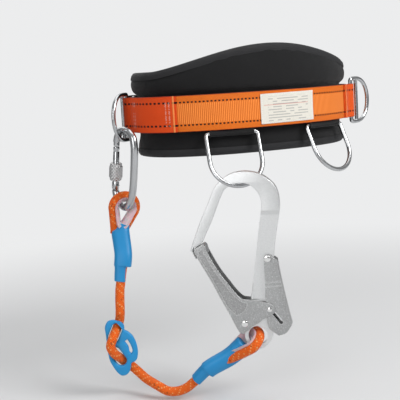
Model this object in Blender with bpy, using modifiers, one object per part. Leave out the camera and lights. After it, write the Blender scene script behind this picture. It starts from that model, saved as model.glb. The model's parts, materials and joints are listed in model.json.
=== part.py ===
"""Waist work-positioning belt of a tree climbing saddle: lumbar pad, load-bearing webbing belt
with two side D-rings and two tool rings, a front buckle, and an adjustable rope lanyard with a
screw-gate carabiner and a large double-action hook.

Frame: metres, +Z up, origin at the centre of the whole part's box. The wearer faces +Y, so the
back of the belt is at -Y, and +X is the wearer's right. The design is laid out about the centre
of the waist loop at mid-height of the webbing, and ORIGIN_SHIFT then moves every piece together.
"""

import math
from bisect import bisect_right

import bmesh
import bpy
from mathutils import Matrix, Vector

# ---------------------------------------------------------------- driving dimensions
# metres, and degrees for angles
ORIGIN_SHIFT = (0.020075, 0.020360, 0.138455)   # from the waist loop's centre to the box's centre
WAIST_HALF_X = 0.1545    # half width of the webbing's outer face
WAIST_HALF_Y = 0.0975    # half depth of the webbing's outer face
WAIST_POWER = 2.25       # superellipse exponent
WEB_WIDTH = 0.045
WEB_THICK = 0.0025
GAP = 0.0003             # clearance between neighbours
PAD_HALF = 0.285         # pad half length along the belt, from the spine
PAD_TOP = 0.0525         # pad top at the hips
PAD_RISE = 0.0285        # further rise at the spine
PAD_BOTTOM = -0.0535
CLOTH_THICK = 0.0012     # pad cover and lining
ROPE_R = 0.0060
EYE_R = 0.0154           # rope eye, to the rope's centre line
D_WIRE_R = 0.0027
TOOL_WIRE_R = 0.0028     # tool ring wire
CARABINER_R = 0.0049     # carabiner bar
CARABINER_AZ = 9.0       # heading of the carabiner's plane
HOOK_AZ = 35.0           # heading of the hook's plane
HOOK_HALF_THICK = 0.006  # hook body
GATE_OPEN = 28.2         # swing of the hook's gate
LEVER_OPEN = 6.0         # swing of the hook's lever over the gate's swing

UP = Vector((0.0, 0.0, 1.0))

for old in list(bpy.data.objects):
    bpy.data.objects.remove(old, do_unlink=True)

PARTS = bpy.data.collections.new("tree_climbing_saddle")
CUTTERS = bpy.data.collections.new("cutters")
bpy.context.scene.collection.children.link(PARTS)
bpy.context.scene.collection.children.link(CUTTERS)


# ---------------------------------------------------------------- materials
def material(name, colour, roughness, metallic=0.0):
    mat = bpy.data.materials.new(name)
    mat.use_nodes = True
    shader = mat.node_tree.nodes["Principled BSDF"]
    shader.inputs["Base Color"].default_value = (*colour, 1.0)
    shader.inputs["Roughness"].default_value = roughness
    shader.inputs["Metallic"].default_value = metallic
    return mat


ORANGE = material("orange_webbing", colour=(0.80, 0.16, 0.03), roughness=0.75)
BLACK = material("black_fabric", colour=(0.015, 0.015, 0.017), roughness=0.85)
FOAM = material("foam", colour=(0.12, 0.12, 0.13), roughness=0.9)
STEEL = material("polished_steel", colour=(0.62, 0.63, 0.64), roughness=0.22, metallic=1.0)
ALLOY = material("forged_alloy", colour=(0.78, 0.79, 0.79), roughness=0.42, metallic=1.0)
PLATED = material("plated_channel", colour=(0.42, 0.43, 0.43), roughness=0.5, metallic=1.0)
BLUE = material("blue_rubber", colour=(0.02, 0.33, 0.75), roughness=0.5)
ROPE = material("orange_rope", colour=(0.85, 0.20, 0.03), roughness=0.8)
PINK = material("clear_thimble", colour=(0.80, 0.55, 0.62), roughness=0.35)
LABEL = material("label_cloth", colour=(0.80, 0.78, 0.72), roughness=0.7)
SPRING = material("spring_steel", colour=(0.35, 0.35, 0.36), roughness=0.35, metallic=1.0)


# ---------------------------------------------------------------- objects and meshes
def add(name, mesh, mat, where=None):
    obj = bpy.data.objects.new(name, mesh)
    PARTS.objects.link(obj)
    mesh.materials.clear()
    mesh.materials.append(mat)
    if where is not None:
        obj.matrix_world = where
    mesh.shade_smooth()
    mesh.set_sharp_from_angle(angle=math.radians(40))
    return obj


def cut(obj, cutter_mesh, where=None, operation="DIFFERENCE"):
    """Adds a boolean with a hidden tool object."""
    tool = bpy.data.objects.new(obj.name + "_cutter_%d" % len(CUTTERS.objects), cutter_mesh)
    CUTTERS.objects.link(tool)
    if where is not None:
        tool.matrix_world = where
    tool.hide_render = True
    tool.display_type = "WIRE"
    mod = obj.modifiers.new("cut", "BOOLEAN")
    mod.operation = operation
    mod.solver = "EXACT"
    mod.object = tool


def to_mesh(bm, name, weld):
    bmesh.ops.remove_doubles(bm, verts=bm.verts, dist=weld)
    bmesh.ops.dissolve_degenerate(bm, dist=1e-7, edges=bm.edges)
    bmesh.ops.recalc_face_normals(bm, faces=bm.faces)
    mesh = bpy.data.meshes.new(name)
    bm.to_mesh(mesh)
    bm.free()
    return mesh


def curve_mesh(curve, name):
    """The welded, closed mesh of a curve."""
    guide = bpy.data.objects.new(name + "_guide", curve)
    bpy.context.scene.collection.objects.link(guide)
    bpy.context.view_layer.update()
    depsgraph = bpy.context.evaluated_depsgraph_get()
    raw = bpy.data.meshes.new_from_object(guide.evaluated_get(depsgraph))
    bpy.data.objects.remove(guide, do_unlink=True)
    bm = bmesh.new()
    bm.from_mesh(raw)
    bpy.data.meshes.remove(raw)
    return to_mesh(bm, name, weld=2e-6)


def add_spline(curve, points, cyclic):
    spline = curve.splines.new("POLY")
    spline.points.add(len(points) - 1)
    for slot, point in zip(spline.points, points):
        slot.co = (*point, 1.0)
    spline.use_cyclic_u = cyclic


def wire_mesh(name, points, radius, cyclic=False, resolution=2):
    """A round wire along a line of 3D points."""
    curve = bpy.data.curves.new(name, "CURVE")
    curve.dimensions = "3D"
    curve.bevel_depth = radius
    curve.bevel_resolution = resolution
    curve.use_fill_caps = True
    add_spline(curve, points, cyclic)
    return curve_mesh(curve, name)


def plate_mesh(name, outlines, low, high):
    """A flat piece between two levels of local Z: the first outline is its edge, others are holes."""
    curve = bpy.data.curves.new(name, "CURVE")
    curve.dimensions = "2D"
    curve.fill_mode = "BOTH"
    curve.extrude = (high - low) / 2
    for outline in outlines:
        add_spline(curve, [(x, y, 0.0) for x, y in outline], cyclic=True)
    mesh = curve_mesh(curve, name)
    mesh.transform(Matrix.Translation((0, 0, (low + high) / 2)))
    return mesh


def turned_mesh(name, profile, steps=16):
    """A profile of (radius, height), spun about local Z."""
    bm = bmesh.new()
    verts = [bm.verts.new((r, 0.0, h)) for r, h in profile]
    edges = [bm.edges.new(pair) for pair in zip(verts, verts[1:])]
    bmesh.ops.spin(bm, geom=verts + edges, cent=(0, 0, 0), axis=(0, 0, 1), angle=2 * math.pi,
                   steps=steps)
    return to_mesh(bm, name, weld=1e-6)


TURN_Z_TO_Y = Matrix.Rotation(math.radians(-90), 4, "X")


def turned_y_mesh(name, profile, steps=16):
    """A profile of (radius, height), spun and laid with its axis along local Y."""
    mesh = turned_mesh(name, profile, steps)
    mesh.transform(TURN_Z_TO_Y)
    return mesh


def loft_mesh(name, rings):
    """Skins a row of closed sections of equal count, with flat ends."""
    bm = bmesh.new()
    rows = [[bm.verts.new(p) for p in ring] for ring in rings]
    count = len(rows[0])
    for one, two in zip(rows, rows[1:]):
        for k in range(count):
            after = (k + 1) % count
            bm.faces.new((one[k], one[after], two[after], two[k]))
    bm.faces.new(rows[0])
    bm.faces.new(rows[-1])
    return to_mesh(bm, name, weld=1e-7)


# ---------------------------------------------------------------- frames, outlines and lines
def axes_frame(x, y, z, origin):
    m = Matrix((x, y, z)).transposed().to_4x4()
    m.translation = origin
    return m


def plane_frame(origin, azimuth):
    """Local X level along the plane, local Y up, local Z out of its face towards world -Y."""
    a = math.radians(azimuth)
    x = Vector((math.cos(a), -math.sin(a), 0.0))
    normal = Vector((-math.sin(a), -math.cos(a), 0.0))
    return axes_frame(x, UP, normal, origin)


def mm(points):
    """Points given in millimetres, in metres."""
    return [tuple(value / 1000.0 for value in point) for point in points]


def rect(x0, x1, y0, y1):
    return [(x0, y0), (x1, y0), (x1, y1), (x0, y1)]


def circle(centre, radius, count=16):
    angles = [2 * math.pi * k / count for k in range(count)]
    return [(centre[0] + radius * math.cos(a), centre[1] + radius * math.sin(a)) for a in angles]


def rounded(points, radius, count=3):
    """Rounds the corners of an outline."""
    out = []
    for i, point in enumerate(points):
        before, corner, after = Vector(points[i - 1]), Vector(point), Vector(points[(i + 1) % len(points)])
        r = min(radius, (before - corner).length * 0.45, (after - corner).length * 0.45)
        start = corner + (before - corner).normalized() * r
        end = corner + (after - corner).normalized() * r
        for k in range(count + 1):
            t = k / count
            out.append(tuple(start * (1 - t) ** 2 + corner * 2 * t * (1 - t) + end * t ** 2))
    return out


def stadium(centre, direction, half_length, half_width, count=8):
    """A slot with round ends, lying along direction."""
    along = Vector(direction).normalized()
    across = Vector((-along.y, along.x))
    middle = Vector(centre)
    out = []
    for sign in (1, -1):
        for k in range(count + 1):
            a = math.pi * (k / count - 0.5)
            out.append(tuple(middle + along * sign * (half_length - half_width)
                             + (along * math.cos(a) + across * math.sin(a)) * half_width * sign))
    return out


def smooth(points, step):
    """A Catmull-Rom line through the points, sampled about every step."""
    pts = [Vector(p) for p in points]
    pts = [pts[0] * 2 - pts[1]] + pts + [pts[-1] * 2 - pts[-2]]
    out = []
    for i in range(1, len(pts) - 2):
        p0, p1, p2, p3 = pts[i - 1:i + 3]
        count = max(1, int(round((p2 - p1).length / step)))
        for k in range(count):
            t = k / count
            out.append(0.5 * ((2 * p1) + (p2 - p0) * t
                              + (2 * p0 - 5 * p1 + 4 * p2 - p3) * t * t
                              + (3 * p1 - p0 - 3 * p2 + p3) * t ** 3))
    out.append(pts[-2])
    return out


def helix(radius, low, pitch, turns, per):
    """A coil about Z, with per points to the turn."""
    out = []
    for k in range(int(turns * per) + 1):
        a = 2 * math.pi * k / per
        out.append((radius * math.cos(a), radius * math.sin(a), low + pitch * k / per))
    return out


def distances(line):
    """Distance from the start of a line to each of its points."""
    walk = [0.0]
    for a, b in zip(line, line[1:]):
        walk.append(walk[-1] + (b - a).length)
    return walk


# ---------------------------------------------------------------- the waist line
def superellipse(t):
    c, s = math.cos(t), math.sin(t)
    return Vector((math.copysign(abs(c) ** (2 / WAIST_POWER), c) * WAIST_HALF_X,
                   math.copysign(abs(s) ** (2 / WAIST_POWER), s) * WAIST_HALF_Y))


WAIST_STEPS = 7200
WAIST_POINTS = [superellipse(-math.pi / 2 + 2 * math.pi * k / WAIST_STEPS)
                for k in range(WAIST_STEPS + 1)]
WAIST_WALK = distances(WAIST_POINTS)
WAIST_LENGTH = WAIST_WALK[-1]


def waist_point(s):
    s %= WAIST_LENGTH
    k = min(bisect_right(WAIST_WALK, s) - 1, WAIST_STEPS - 1)
    f = (s - WAIST_WALK[k]) / (WAIST_WALK[k + 1] - WAIST_WALK[k])
    return WAIST_POINTS[k].lerp(WAIST_POINTS[k + 1], f)


def waist_tangent(s):
    return (waist_point(s + 0.002) - waist_point(s - 0.002)).normalized()


def belt(s, off=0.0, z=0.0):
    """The point s along the belt from the spine (positive towards the wearer's right) and off
    outwards from the webbing's outer face."""
    p = waist_point(s)
    t = waist_tangent(s)
    return Vector((p.x + t.y * off, p.y - t.x * off, z))


def belt_frame(s):
    """Local X along the belt, local Y up, local Z outwards."""
    t = waist_tangent(s)
    return axes_frame((t.x, t.y, 0.0), UP, (t.y, -t.x, 0.0), belt(s))


STATION_STEP = 0.019


def stations(s0, s1):
    """Places along the belt shared by every layer, so that the layers stay parallel."""
    margin = 0.25 * STATION_STEP
    shared = [k * STATION_STEP for k in range(-40, 41)]
    return [s0] + [s for s in shared if s0 + margin < s < s1 - margin] + [s1]


def sheet(name, s0, s1, line, thick, mat):
    """A sheet round the waist: line(s) gives its outer face as (off, z) from bottom to top."""
    last_row = len(line(s0)) - 1
    places = stations(s0, s1)
    last_place = len(places) - 1
    bm = bmesh.new()
    bmesh.ops.create_grid(bm, x_segments=last_place, y_segments=last_row, size=1.0)
    for v in bm.verts:
        s = places[int(round((v.co.x + 1) / 2 * last_place))]
        off, z = line(s)[int(round((v.co.y + 1) / 2 * last_row))]
        v.co = belt(s, off, z)
    mesh = bpy.data.meshes.new(name)
    bm.to_mesh(mesh)
    bm.free()
    obj = add(name, mesh, mat)
    mod = obj.modifiers.new("thickness", "SOLIDIFY")
    mod.thickness = thick
    mod.offset = -1.0
    mod.use_even_offset = True


def band(name, s0, s1, off, z0, z1, thick, mat):
    sheet(name, s0, s1, lambda s: [(off, z0), (off, z1)], thick, mat)


# ---------------------------------------------------------------- pad
PAD_END_TAPER = 0.05     # length over which each end narrows
PAD_RISE_REACH = 0.175   # how far from the spine the rise runs out
BULGE_Z = 0.0262         # where the part above the webbing starts
PAD_FULL_OFF = -0.0030   # outer face where the pad is fullest
PAD_TOP_OFF = -0.0080    # outer face at the top edge
FOAM_INNER = -0.0160     # foam's face towards the wearer
LINING_BACK = FOAM_INNER - GAP
LINING_FACE = LINING_BACK - CLOTH_THICK
TAPE_INNER = LINING_FACE - GAP
TAPE_THICK = 0.0008
TAPE_WIDTH = 0.0078      # how far the tape reaches in from the pad's edge


def end_taper(s):
    """0 along the pad, rising to 1 at its ends."""
    x = min(1.0, max(0.0, (abs(s) - (PAD_HALF - PAD_END_TAPER)) / PAD_END_TAPER))
    return (x * x * (3 - 2 * x)) ** 2


def pad_top(s):
    wave = 0.5 + 0.5 * math.cos(math.pi * min(1.0, abs(s) / PAD_RISE_REACH))
    return PAD_TOP + PAD_RISE * wave ** 0.8 - 0.010 * end_taper(s)


def pad_bottom(s):
    return PAD_BOTTOM + 0.008 * end_taper(s)


def full_z(top):
    """Height at which the pad above the webbing is fullest."""
    return BULGE_Z + 0.45 * (top - BULGE_Z)


# Each section below lists (off, z) points.
def cover_line(s):
    """The pad's outer face: a channel behind the webbing, fuller above it."""
    top, bottom = pad_top(s), pad_bottom(s)
    return [(-0.0108, bottom), (-0.0088, bottom + 0.006), (-0.0096, -0.0340), (-0.0112, -0.0316),
            (-0.0112, 0.0248), (-0.0045, BULGE_Z), (PAD_FULL_OFF, full_z(top)),
            (PAD_TOP_OFF, top)]


def foam_section(s):
    """The foam core, clear of both cloths."""
    top, bottom = pad_top(s), pad_bottom(s)
    return [(-0.0130, bottom + 0.0016), (-0.0109, bottom + 0.0080), (-0.0117, -0.0356),
            (-0.0131, -0.0330), (-0.0131, 0.0272), (-0.0068, 0.0285),
            (-0.0053, full_z(top) - 0.0004), (-0.0104, top - 0.0018),
            (FOAM_INNER, top - 0.0018), (FOAM_INNER, bottom + 0.0016)]


def lining_section(s):
    """The inner lining, pressed thinner where the binding tape is sewn over its edges."""
    top, bottom = pad_top(s), pad_bottom(s)
    pressed = LINING_FACE + 0.0002
    return [(LINING_BACK, bottom), (LINING_BACK, top), (pressed, top), (pressed, top - 0.0084),
            (LINING_FACE, top - 0.0090), (LINING_FACE, bottom + 0.0090),
            (pressed, bottom + 0.0084), (pressed, bottom)]


def top_tape_section(s):
    """A tape folded over the pad's top edge."""
    top = pad_top(s)
    full = full_z(top)
    low = top - TAPE_WIDTH
    cover = PAD_FULL_OFF + (PAD_TOP_OFF - PAD_FULL_OFF) * (low - full) / (top - full)
    return [(cover + 0.0015, low), (-0.0070, top + 0.0013),
            (TAPE_INNER - TAPE_THICK, top + 0.0013), (TAPE_INNER - TAPE_THICK, low),
            (TAPE_INNER, low), (TAPE_INNER, top + GAP), (-0.0074, top + GAP),
            (cover + 0.0008, low)]


def bottom_tape_section(s):
    """A tape folded over the pad's bottom edge."""
    bottom = pad_bottom(s)
    high = bottom + TAPE_WIDTH
    return [(-0.0076, high), (-0.0076, bottom + 0.0054), (-0.0100, bottom - 0.0012),
            (TAPE_INNER - TAPE_THICK, bottom - 0.0012), (TAPE_INNER - TAPE_THICK, high),
            (TAPE_INNER, high), (TAPE_INNER, bottom - GAP), (-0.0106, bottom - GAP),
            (-0.0084, bottom + 0.0058), (-0.0084, high)]


def pad_layer(name, section, half_length, mat):
    """Sweeps a section of (off, z) points along the pad."""
    rings = [[belt(s, off, z) for off, z in section(s)]
             for s in stations(-half_length, half_length)]
    add(name, loft_mesh(name, rings), mat)


sheet("pad_outer_cover", -PAD_HALF, PAD_HALF, cover_line, CLOTH_THICK, BLACK)
pad_layer("pad_foam_core", foam_section, PAD_HALF - 0.0015, FOAM)
pad_layer("pad_inner_lining", lining_section, PAD_HALF, BLACK)
pad_layer("pad_binding_top", top_tape_section, PAD_HALF, BLACK)
pad_layer("pad_binding_bottom", bottom_tape_section, PAD_HALF, BLACK)

# ---------------------------------------------------------------- webbing
S_D_LEFT = -0.2230               # D-rings' bars along the belt
S_D_RIGHT = 0.1570
S_BUCKLE = WAIST_LENGTH / 2      # middle of the front
S_WEB_RIGHT = S_BUCKLE - 0.040   # webbing's end at the buckle frame
S_WEB_LEFT = -(S_BUCKLE - 0.042)  # webbing's end at the buckle insert
LABEL_THICK = 0.0005

FOLD_THICK = 0.0013
FOLD_HOLE = D_WIRE_R + GAP
FOLD_OUTER = FOLD_HOLE + FOLD_THICK
D_BAR_OFF = GAP + FOLD_OUTER     # D-ring bar's centre over the belt's outer face

band("waist_webbing", S_WEB_LEFT, S_WEB_RIGHT, 0.0, -WEB_WIDTH / 2, WEB_WIDTH / 2, WEB_THICK,
     ORANGE)
band("belt_backing", -0.247, 0.247, -WEB_THICK - GAP, -0.0150, 0.0235, 0.0076, BLACK)


def dense(outline, step=0.0095):
    """Divides the long edges of an outline."""
    out = []
    for i, point in enumerate(outline):
        a, b = Vector(point), Vector(outline[(i + 1) % len(outline)])
        count = max(1, int((b - a).length / step))
        out += [tuple(a.lerp(b, k / count)) for k in range(count)]
    return out


def d_ring_fold(name, s_bar, tail_low, tail_high):
    """Webbing wrapped round a D-ring's bar and sewn down in a flat tail. The section has x along
    the belt from the bar and y outwards; the tail's two layers end at tail_low and tail_high."""
    side = 1.0 if tail_low < 0.0 else -1.0
    edge = [(tail_low, GAP), (0.0, GAP)]
    for k in range(1, 8):
        a = -math.pi / 2 + math.pi * k / 8
        edge.append((side * FOLD_OUTER * math.cos(a), D_BAR_OFF + FOLD_OUTER * math.sin(a)))
    layers_top = GAP + 2 * FOLD_THICK
    edge += [(0.0, GAP + 2 * FOLD_OUTER),
             (-side * FOLD_OUTER * 1.5, layers_top + GAP + FOLD_OUTER * 0.75),
             (-side * FOLD_OUTER * 2.4, layers_top),
             (tail_high, layers_top), (tail_low, GAP + FOLD_THICK)]
    outlines = [dense(edge), circle((0.0, D_BAR_OFF), FOLD_HOLE, 12)]
    laid = [[tuple(belt(s_bar + x, y).xy) for x, y in outline] for outline in outlines]
    add(name, plate_mesh(name, laid, -WEB_WIDTH / 2, WEB_WIDTH / 2), ORANGE)


d_ring_fold("d_ring_fold_left", S_D_LEFT, 0.0920, 0.0895)
d_ring_fold("d_ring_fold_right", S_D_RIGHT, -0.030, -0.028)
band("label_patch", -0.0235, 0.0555, GAP + LABEL_THICK, -0.0195, 0.0200, LABEL_THICK, LABEL)

# ---------------------------------------------------------------- D-rings
D_HALF = 0.0293     # half height, to the wire's centre line
D_REACH = 0.038     # from the bar to the top of the bow
D_CROSS = 0.012     # from the bar to the crossbar
D_CORNER = 0.003


def d_ring_mesh(name):
    """Local X from the bar towards the bow, local Y along the bar. The bar is on the origin."""
    bow = []
    for k in range(15):
        a = math.pi / 2 - math.pi * k / 14
        reach = D_CROSS + (D_REACH - D_CROSS) * max(0.0, math.cos(a)) ** 0.92
        bow.append((reach, D_HALF * math.sin(a), 0))
    bar = [(D_CORNER, -D_HALF, 0), (0.0006, -D_HALF + 0.0010, 0), (0, -D_HALF + D_CORNER, 0),
           (0, D_HALF - D_CORNER, 0), (0.0006, D_HALF - 0.0010, 0)]
    return wire_mesh(name, [(D_CORNER, D_HALF, 0)] + bow + bar, D_WIRE_R, cyclic=True)


def d_ring(name, s, toward, z):
    """toward: direction of the bow in world X and Y. Returns the ring's frame."""
    heading = math.atan2(toward[1], toward[0])
    x = Vector((math.cos(heading), math.sin(heading), 0.0))
    frame = axes_frame(x, UP, x.cross(UP), belt(s, D_BAR_OFF, z))
    ring = add(name, d_ring_mesh(name), STEEL, frame)
    crossbar = wire_mesh(name + "_cross", [(D_CROSS, -D_HALF, 0), (D_CROSS, D_HALF, 0)],
                         D_WIRE_R * 0.93)
    cut(ring, crossbar, frame, "UNION")
    return frame


D_LEFT_FRAME = d_ring("d_ring_left", S_D_LEFT, toward=(-0.756, -0.651), z=-0.0024)
d_ring("d_ring_right", S_D_RIGHT, toward=(0.940, 0.334), z=0.0)

# ---------------------------------------------------------------- tool rings and their sleeves
TOOL_RING_OFF = -0.0050
TOOL_RING_Z = -0.0268
TOOL_RING_HALF = 0.0335      # half width, to the wire's centre line
TOOL_LEFT_DROP = 0.0708      # from the bar to the bottom of the bow
TOOL_RIGHT_DROP = 0.0640


def tool_ring_line(drop):
    """A closed U: straight bar on the origin along local X, bow hanging along -Y."""
    half, corner, ease = TOOL_RING_HALF, 0.004, 0.0012
    straight = drop - half
    pts = [(-half + corner, 0, 0), (half - corner, 0, 0), (half - ease, -ease, 0),
           (half, -corner, 0), (half, -straight, 0)]
    for k in range(1, 12):
        a = -math.pi * k / 12
        pts.append((half * math.cos(a), -straight + half * math.sin(a), 0))
    return pts + [(-half, -straight, 0), (-half, -corner, 0), (-half + ease, -ease, 0)]


def tool_ring(name, s, tilt, drop, azimuth):
    """tilt swings the bow outwards. Returns the ring's frame."""
    frame = (plane_frame(belt(s, TOOL_RING_OFF, TOOL_RING_Z), azimuth)
             @ Matrix.Rotation(math.radians(tilt), 4, "X").inverted())
    add(name, wire_mesh(name, tool_ring_line(drop), TOOL_WIRE_R, cyclic=True), STEEL, frame)
    return frame


def ring_sleeve(name, ring_frame):
    """A short webbing sleeve round the ring's bar."""
    hole = TOOL_WIRE_R + 0.0005
    mesh = plate_mesh(name, [circle((0, 0), hole + 0.0009, 12), circle((0, 0), hole, 12)],
                      -0.0285, 0.0285)
    turn = ring_frame.to_3x3()
    add(name, mesh, BLACK,
        axes_frame(turn.col[1], turn.col[2], turn.col[0], ring_frame.translation))


TOOL_LEFT_FRAME = tool_ring("tool_ring_left", -0.0625, tilt=25.0, drop=TOOL_LEFT_DROP,
                            azimuth=12.6)
TOOL_RIGHT_FRAME = tool_ring("tool_ring_right", 0.0790, tilt=24.0, drop=TOOL_RIGHT_DROP,
                             azimuth=-17.0)
ring_sleeve("tool_ring_sleeve_left", TOOL_LEFT_FRAME)
ring_sleeve("tool_ring_sleeve_right", TOOL_RIGHT_FRAME)

# ---------------------------------------------------------------- front buckle
# Local X along the belt towards the wearer's left, Y up, Z outwards.
BUCKLE = belt_frame(S_BUCKLE)
FRAME_OFF = 0.0052
FRAME_END, FRAME_SLOT = -0.033, -0.0265       # the fold's bar lies between these
INSERT = BUCKLE @ Matrix.Translation((0.0325, 0, FRAME_OFF + 0.0034))
INSERT_END, INSERT_SLOT = 0.004, -0.0035      # the fold's bar lies between these

FRAME_OUTLINES = [rounded(rect(FRAME_END, 0.026, -0.031, 0.031), 0.006),
                  rect(FRAME_SLOT, -0.0215, -0.0235, 0.0235),
                  rounded(rect(-0.0150, 0.0200, -0.0245, 0.0245), 0.003)]
INSERT_OUTLINES = [rounded([(-0.056, -0.0225), (-0.056, 0.0225), (-0.046, 0.029),
                            (INSERT_END, 0.029), (INSERT_END, -0.029), (-0.046, -0.029)], 0.004),
                   rect(-0.0115, INSERT_SLOT, -0.0235, 0.0235),
                   rounded(rect(-0.036, -0.018, -0.012, 0.012), 0.004)]

add("buckle_frame", plate_mesh("buckle_frame", FRAME_OUTLINES, -0.0015, 0.0015), STEEL,
    BUCKLE @ Matrix.Translation((0, 0, FRAME_OFF)))
add("buckle_insert", plate_mesh("buckle_insert", INSERT_OUTLINES, -0.0014, 0.0014), STEEL, INSERT)


def strap_fold(name, bar_frame, hole, side):
    """A strap folded round a bar; its tail runs 26 mm to the given side along the belt."""
    tail = 0.026
    out = hole + 0.0013
    edge = [(side * tail, -out), (side * tail, -out + 0.0028), (side * out * 1.6, out * 0.55)]
    for k in range(8):
        a = math.radians(45 - 25.7 * k)
        edge.append((side * out * math.sin(a), out * math.cos(a)))
    edge.append((0.0, -out))
    mesh = plate_mesh(name, [edge, circle((0, 0), hole, 12)], -WEB_WIDTH / 2, WEB_WIDTH / 2)
    add(name, mesh, ORANGE, bar_frame @ Matrix.Rotation(math.radians(90), 4, "X"))


# the wearer's right webbing end on the frame, and the left one on the insert
strap_fold("frame_fold",
           BUCKLE @ Matrix.Translation(((FRAME_END + FRAME_SLOT) / 2, 0, FRAME_OFF)),
           hole=0.0042, side=-1.0)
strap_fold("insert_fold", INSERT @ Matrix.Translation(((INSERT_END + INSERT_SLOT) / 2, 0, 0)),
           hole=0.0044, side=1.0)

SLIDE_BAR_PROFILE = [(0.0, 0.0292), (0.0024, 0.0292), (0.0030, 0.0280),
                     (0.0030, -0.0280), (0.0024, -0.0292), (0.0, -0.0292)]
add("buckle_slide_bar", turned_mesh("buckle_slide_bar", SLIDE_BAR_PROFILE, 12), STEEL,
    INSERT @ Matrix.Translation((-0.0310, 0, 0.0048)) @ TURN_Z_TO_Y)

# free strap tail and its two keepers, on the wearer's left of the buckle
band("strap_tail", S_BUCKLE + 0.052, S_BUCKLE + 0.165, WEB_THICK + 0.0026,
     -WEB_WIDTH / 2 + 0.001, WEB_WIDTH / 2 - 0.001, 0.0022, ORANGE)


def keeper(name, s):
    """An elastic loop round the belt and its tail. Local X outwards, Y up, Z along the belt."""
    clear, thick = 0.0006, 0.0013
    low, high = -0.0034 - clear, 0.0058 + clear
    half = WEB_WIDTH / 2 + clear
    outer = rect(low - thick, high + thick, -half - thick, half + thick)
    mesh = plate_mesh(name, [rounded(outer, 0.0012, 2), rect(low, high, -half, half)],
                      -0.009, 0.009)
    frame = belt_frame(s)
    turn = frame.to_3x3()
    add(name, mesh, BLACK, axes_frame(turn.col[2], turn.col[1], -turn.col[0], frame.translation))


keeper("strap_keeper_inner", S_BUCKLE + 0.084)
keeper("strap_keeper_outer", S_BUCKLE + 0.143)


# ---------------------------------------------------------------- carabiner
def carabiner_frame():
    """Origin at the top of the bar's centre line, Y up, X from the gate to the spine."""
    a = math.radians(CARABINER_AZ)
    x = Vector((math.sin(a), -math.cos(a), 0.0))
    level = axes_frame(x, UP, x.cross(UP), Vector((-0.1742, 0.0020, -0.0250)))
    # leans in its own plane, its bottom towards world +Y
    return (level @ Matrix.Translation((-0.0030, 0, 0))
            @ Matrix.Rotation(math.radians(-11.0), 4, "Z")
            @ Matrix.Translation((0.01325, 0.0091, 0)))


CARABINER = carabiner_frame()
NOSE = (-0.0225, -0.0245)
HINGE = (-0.0222, -0.0790)
HINGE_EYE_R = 0.00145
# bar's centre line (x, y): from the hinge end round the bottom, up the spine, over to the nose
CARABINER_LINE = mm([
    (-22.0, -78.0), (-21.6, -84.0), (-19.6, -89.6), (-13.5, -96.4), (-4.5, -100.4),
    (4.5, -100.8), (12.0, -96.0), (18.0, -87.2), (21.7, -76.0), (23.1, -60.0), (23.3, -44.0),
    (23.1, -30.0), (22.2, -17.0), (18.5, -6.4), (11.0, -1.1), (2.0, 0.0), (-7.0, -0.6),
    (-14.5, -4.2), (-19.6, -11.0), (-22.0, -18.5), (-22.5, -24.0)])

gate_line = Vector((NOSE[0] - HINGE[0], NOSE[1] - HINGE[1], 0))
GATE_LENGTH = gate_line.length
# gate's frame: origin on the hinge pin, Y along the barrel to the nose
CARABINER_GATE = (CARABINER @ Matrix.Translation((*HINGE, 0))
                  @ Matrix.Rotation(math.atan2(gate_line.y, gate_line.x) - math.pi / 2, 4, "Z"))

# turned profiles of (radius, distance from the hinge pin)
NECK_PROFILE = [(0.0039, GATE_LENGTH - 0.0010), (0.0080, GATE_LENGTH - 0.0010),
                (0.0080, GATE_LENGTH + 0.0070), (0.0039, GATE_LENGTH + 0.0055),
                (0.0039, GATE_LENGTH - 0.0010)]
BARREL_PROFILE = [(0.0, GATE_LENGTH - 0.0006), (0.0034, GATE_LENGTH - 0.0006),
                  (0.0040, GATE_LENGTH - 0.0020), (0.0040, 0.0060), (0.0046, 0.0050),
                  (0.0046, -0.0020), (0.0036, -0.0042), (0.0, -0.0042)]
BORE_PROFILE = [(0.0, 0.0300), (0.0022, 0.0300), (0.0022, 0.0050), (0.0, 0.0050)]
GATE_PIN_PROFILE = [(0.0, 0.0056), (0.0011, 0.0056), (0.0011, -0.0056), (0.0, -0.0056)]
SLEEVE_LOW = 0.0080
SLEEVE_HIGH = SLEEVE_LOW + 0.0235
# a wider band between two plain collars
SCREW_PROFILE = [(0.0043, SLEEVE_LOW), (0.0068, SLEEVE_LOW), (0.0076, SLEEVE_LOW + 0.0012),
                 (0.0076, SLEEVE_LOW + 0.0030), (0.0088, SLEEVE_LOW + 0.0042),
                 (0.0088, SLEEVE_HIGH - 0.0042), (0.0076, SLEEVE_HIGH - 0.0030),
                 (0.0076, SLEEVE_HIGH - 0.0012), (0.0068, SLEEVE_HIGH), (0.0043, SLEEVE_HIGH),
                 (0.0043, SLEEVE_LOW)]


def carabiner_body():
    path = smooth([(x, y, 0.0) for x, y in CARABINER_LINE], 0.0078)
    body = add("carabiner_body", wire_mesh("carabiner_body", path, CARABINER_R), STEEL, CARABINER)
    # slot across the nose, then the two flats and the eye of the hinge end
    nose_slot = rect(-0.0320, -0.0130, -0.0222, -0.0200)
    hinge_flat = rect(-0.0320, -0.0130, -0.0845, -0.0600)
    cut(body, plate_mesh("nose_slot", [nose_slot], -0.0016, 0.0016), CARABINER)
    cut(body, plate_mesh("hinge_flat_a", [hinge_flat], 0.0022, 0.0070), CARABINER)
    cut(body, plate_mesh("hinge_flat_b", [hinge_flat], -0.0070, -0.0022), CARABINER)
    cut(body, plate_mesh("hinge_eye", [circle(HINGE, HINGE_EYE_R, 12)], -0.006, 0.006), CARABINER)
    # the nose is turned down so that the screw sleeve can close over it
    cut(body, turned_y_mesh("nose_neck", NECK_PROFILE), CARABINER_GATE)


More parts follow.
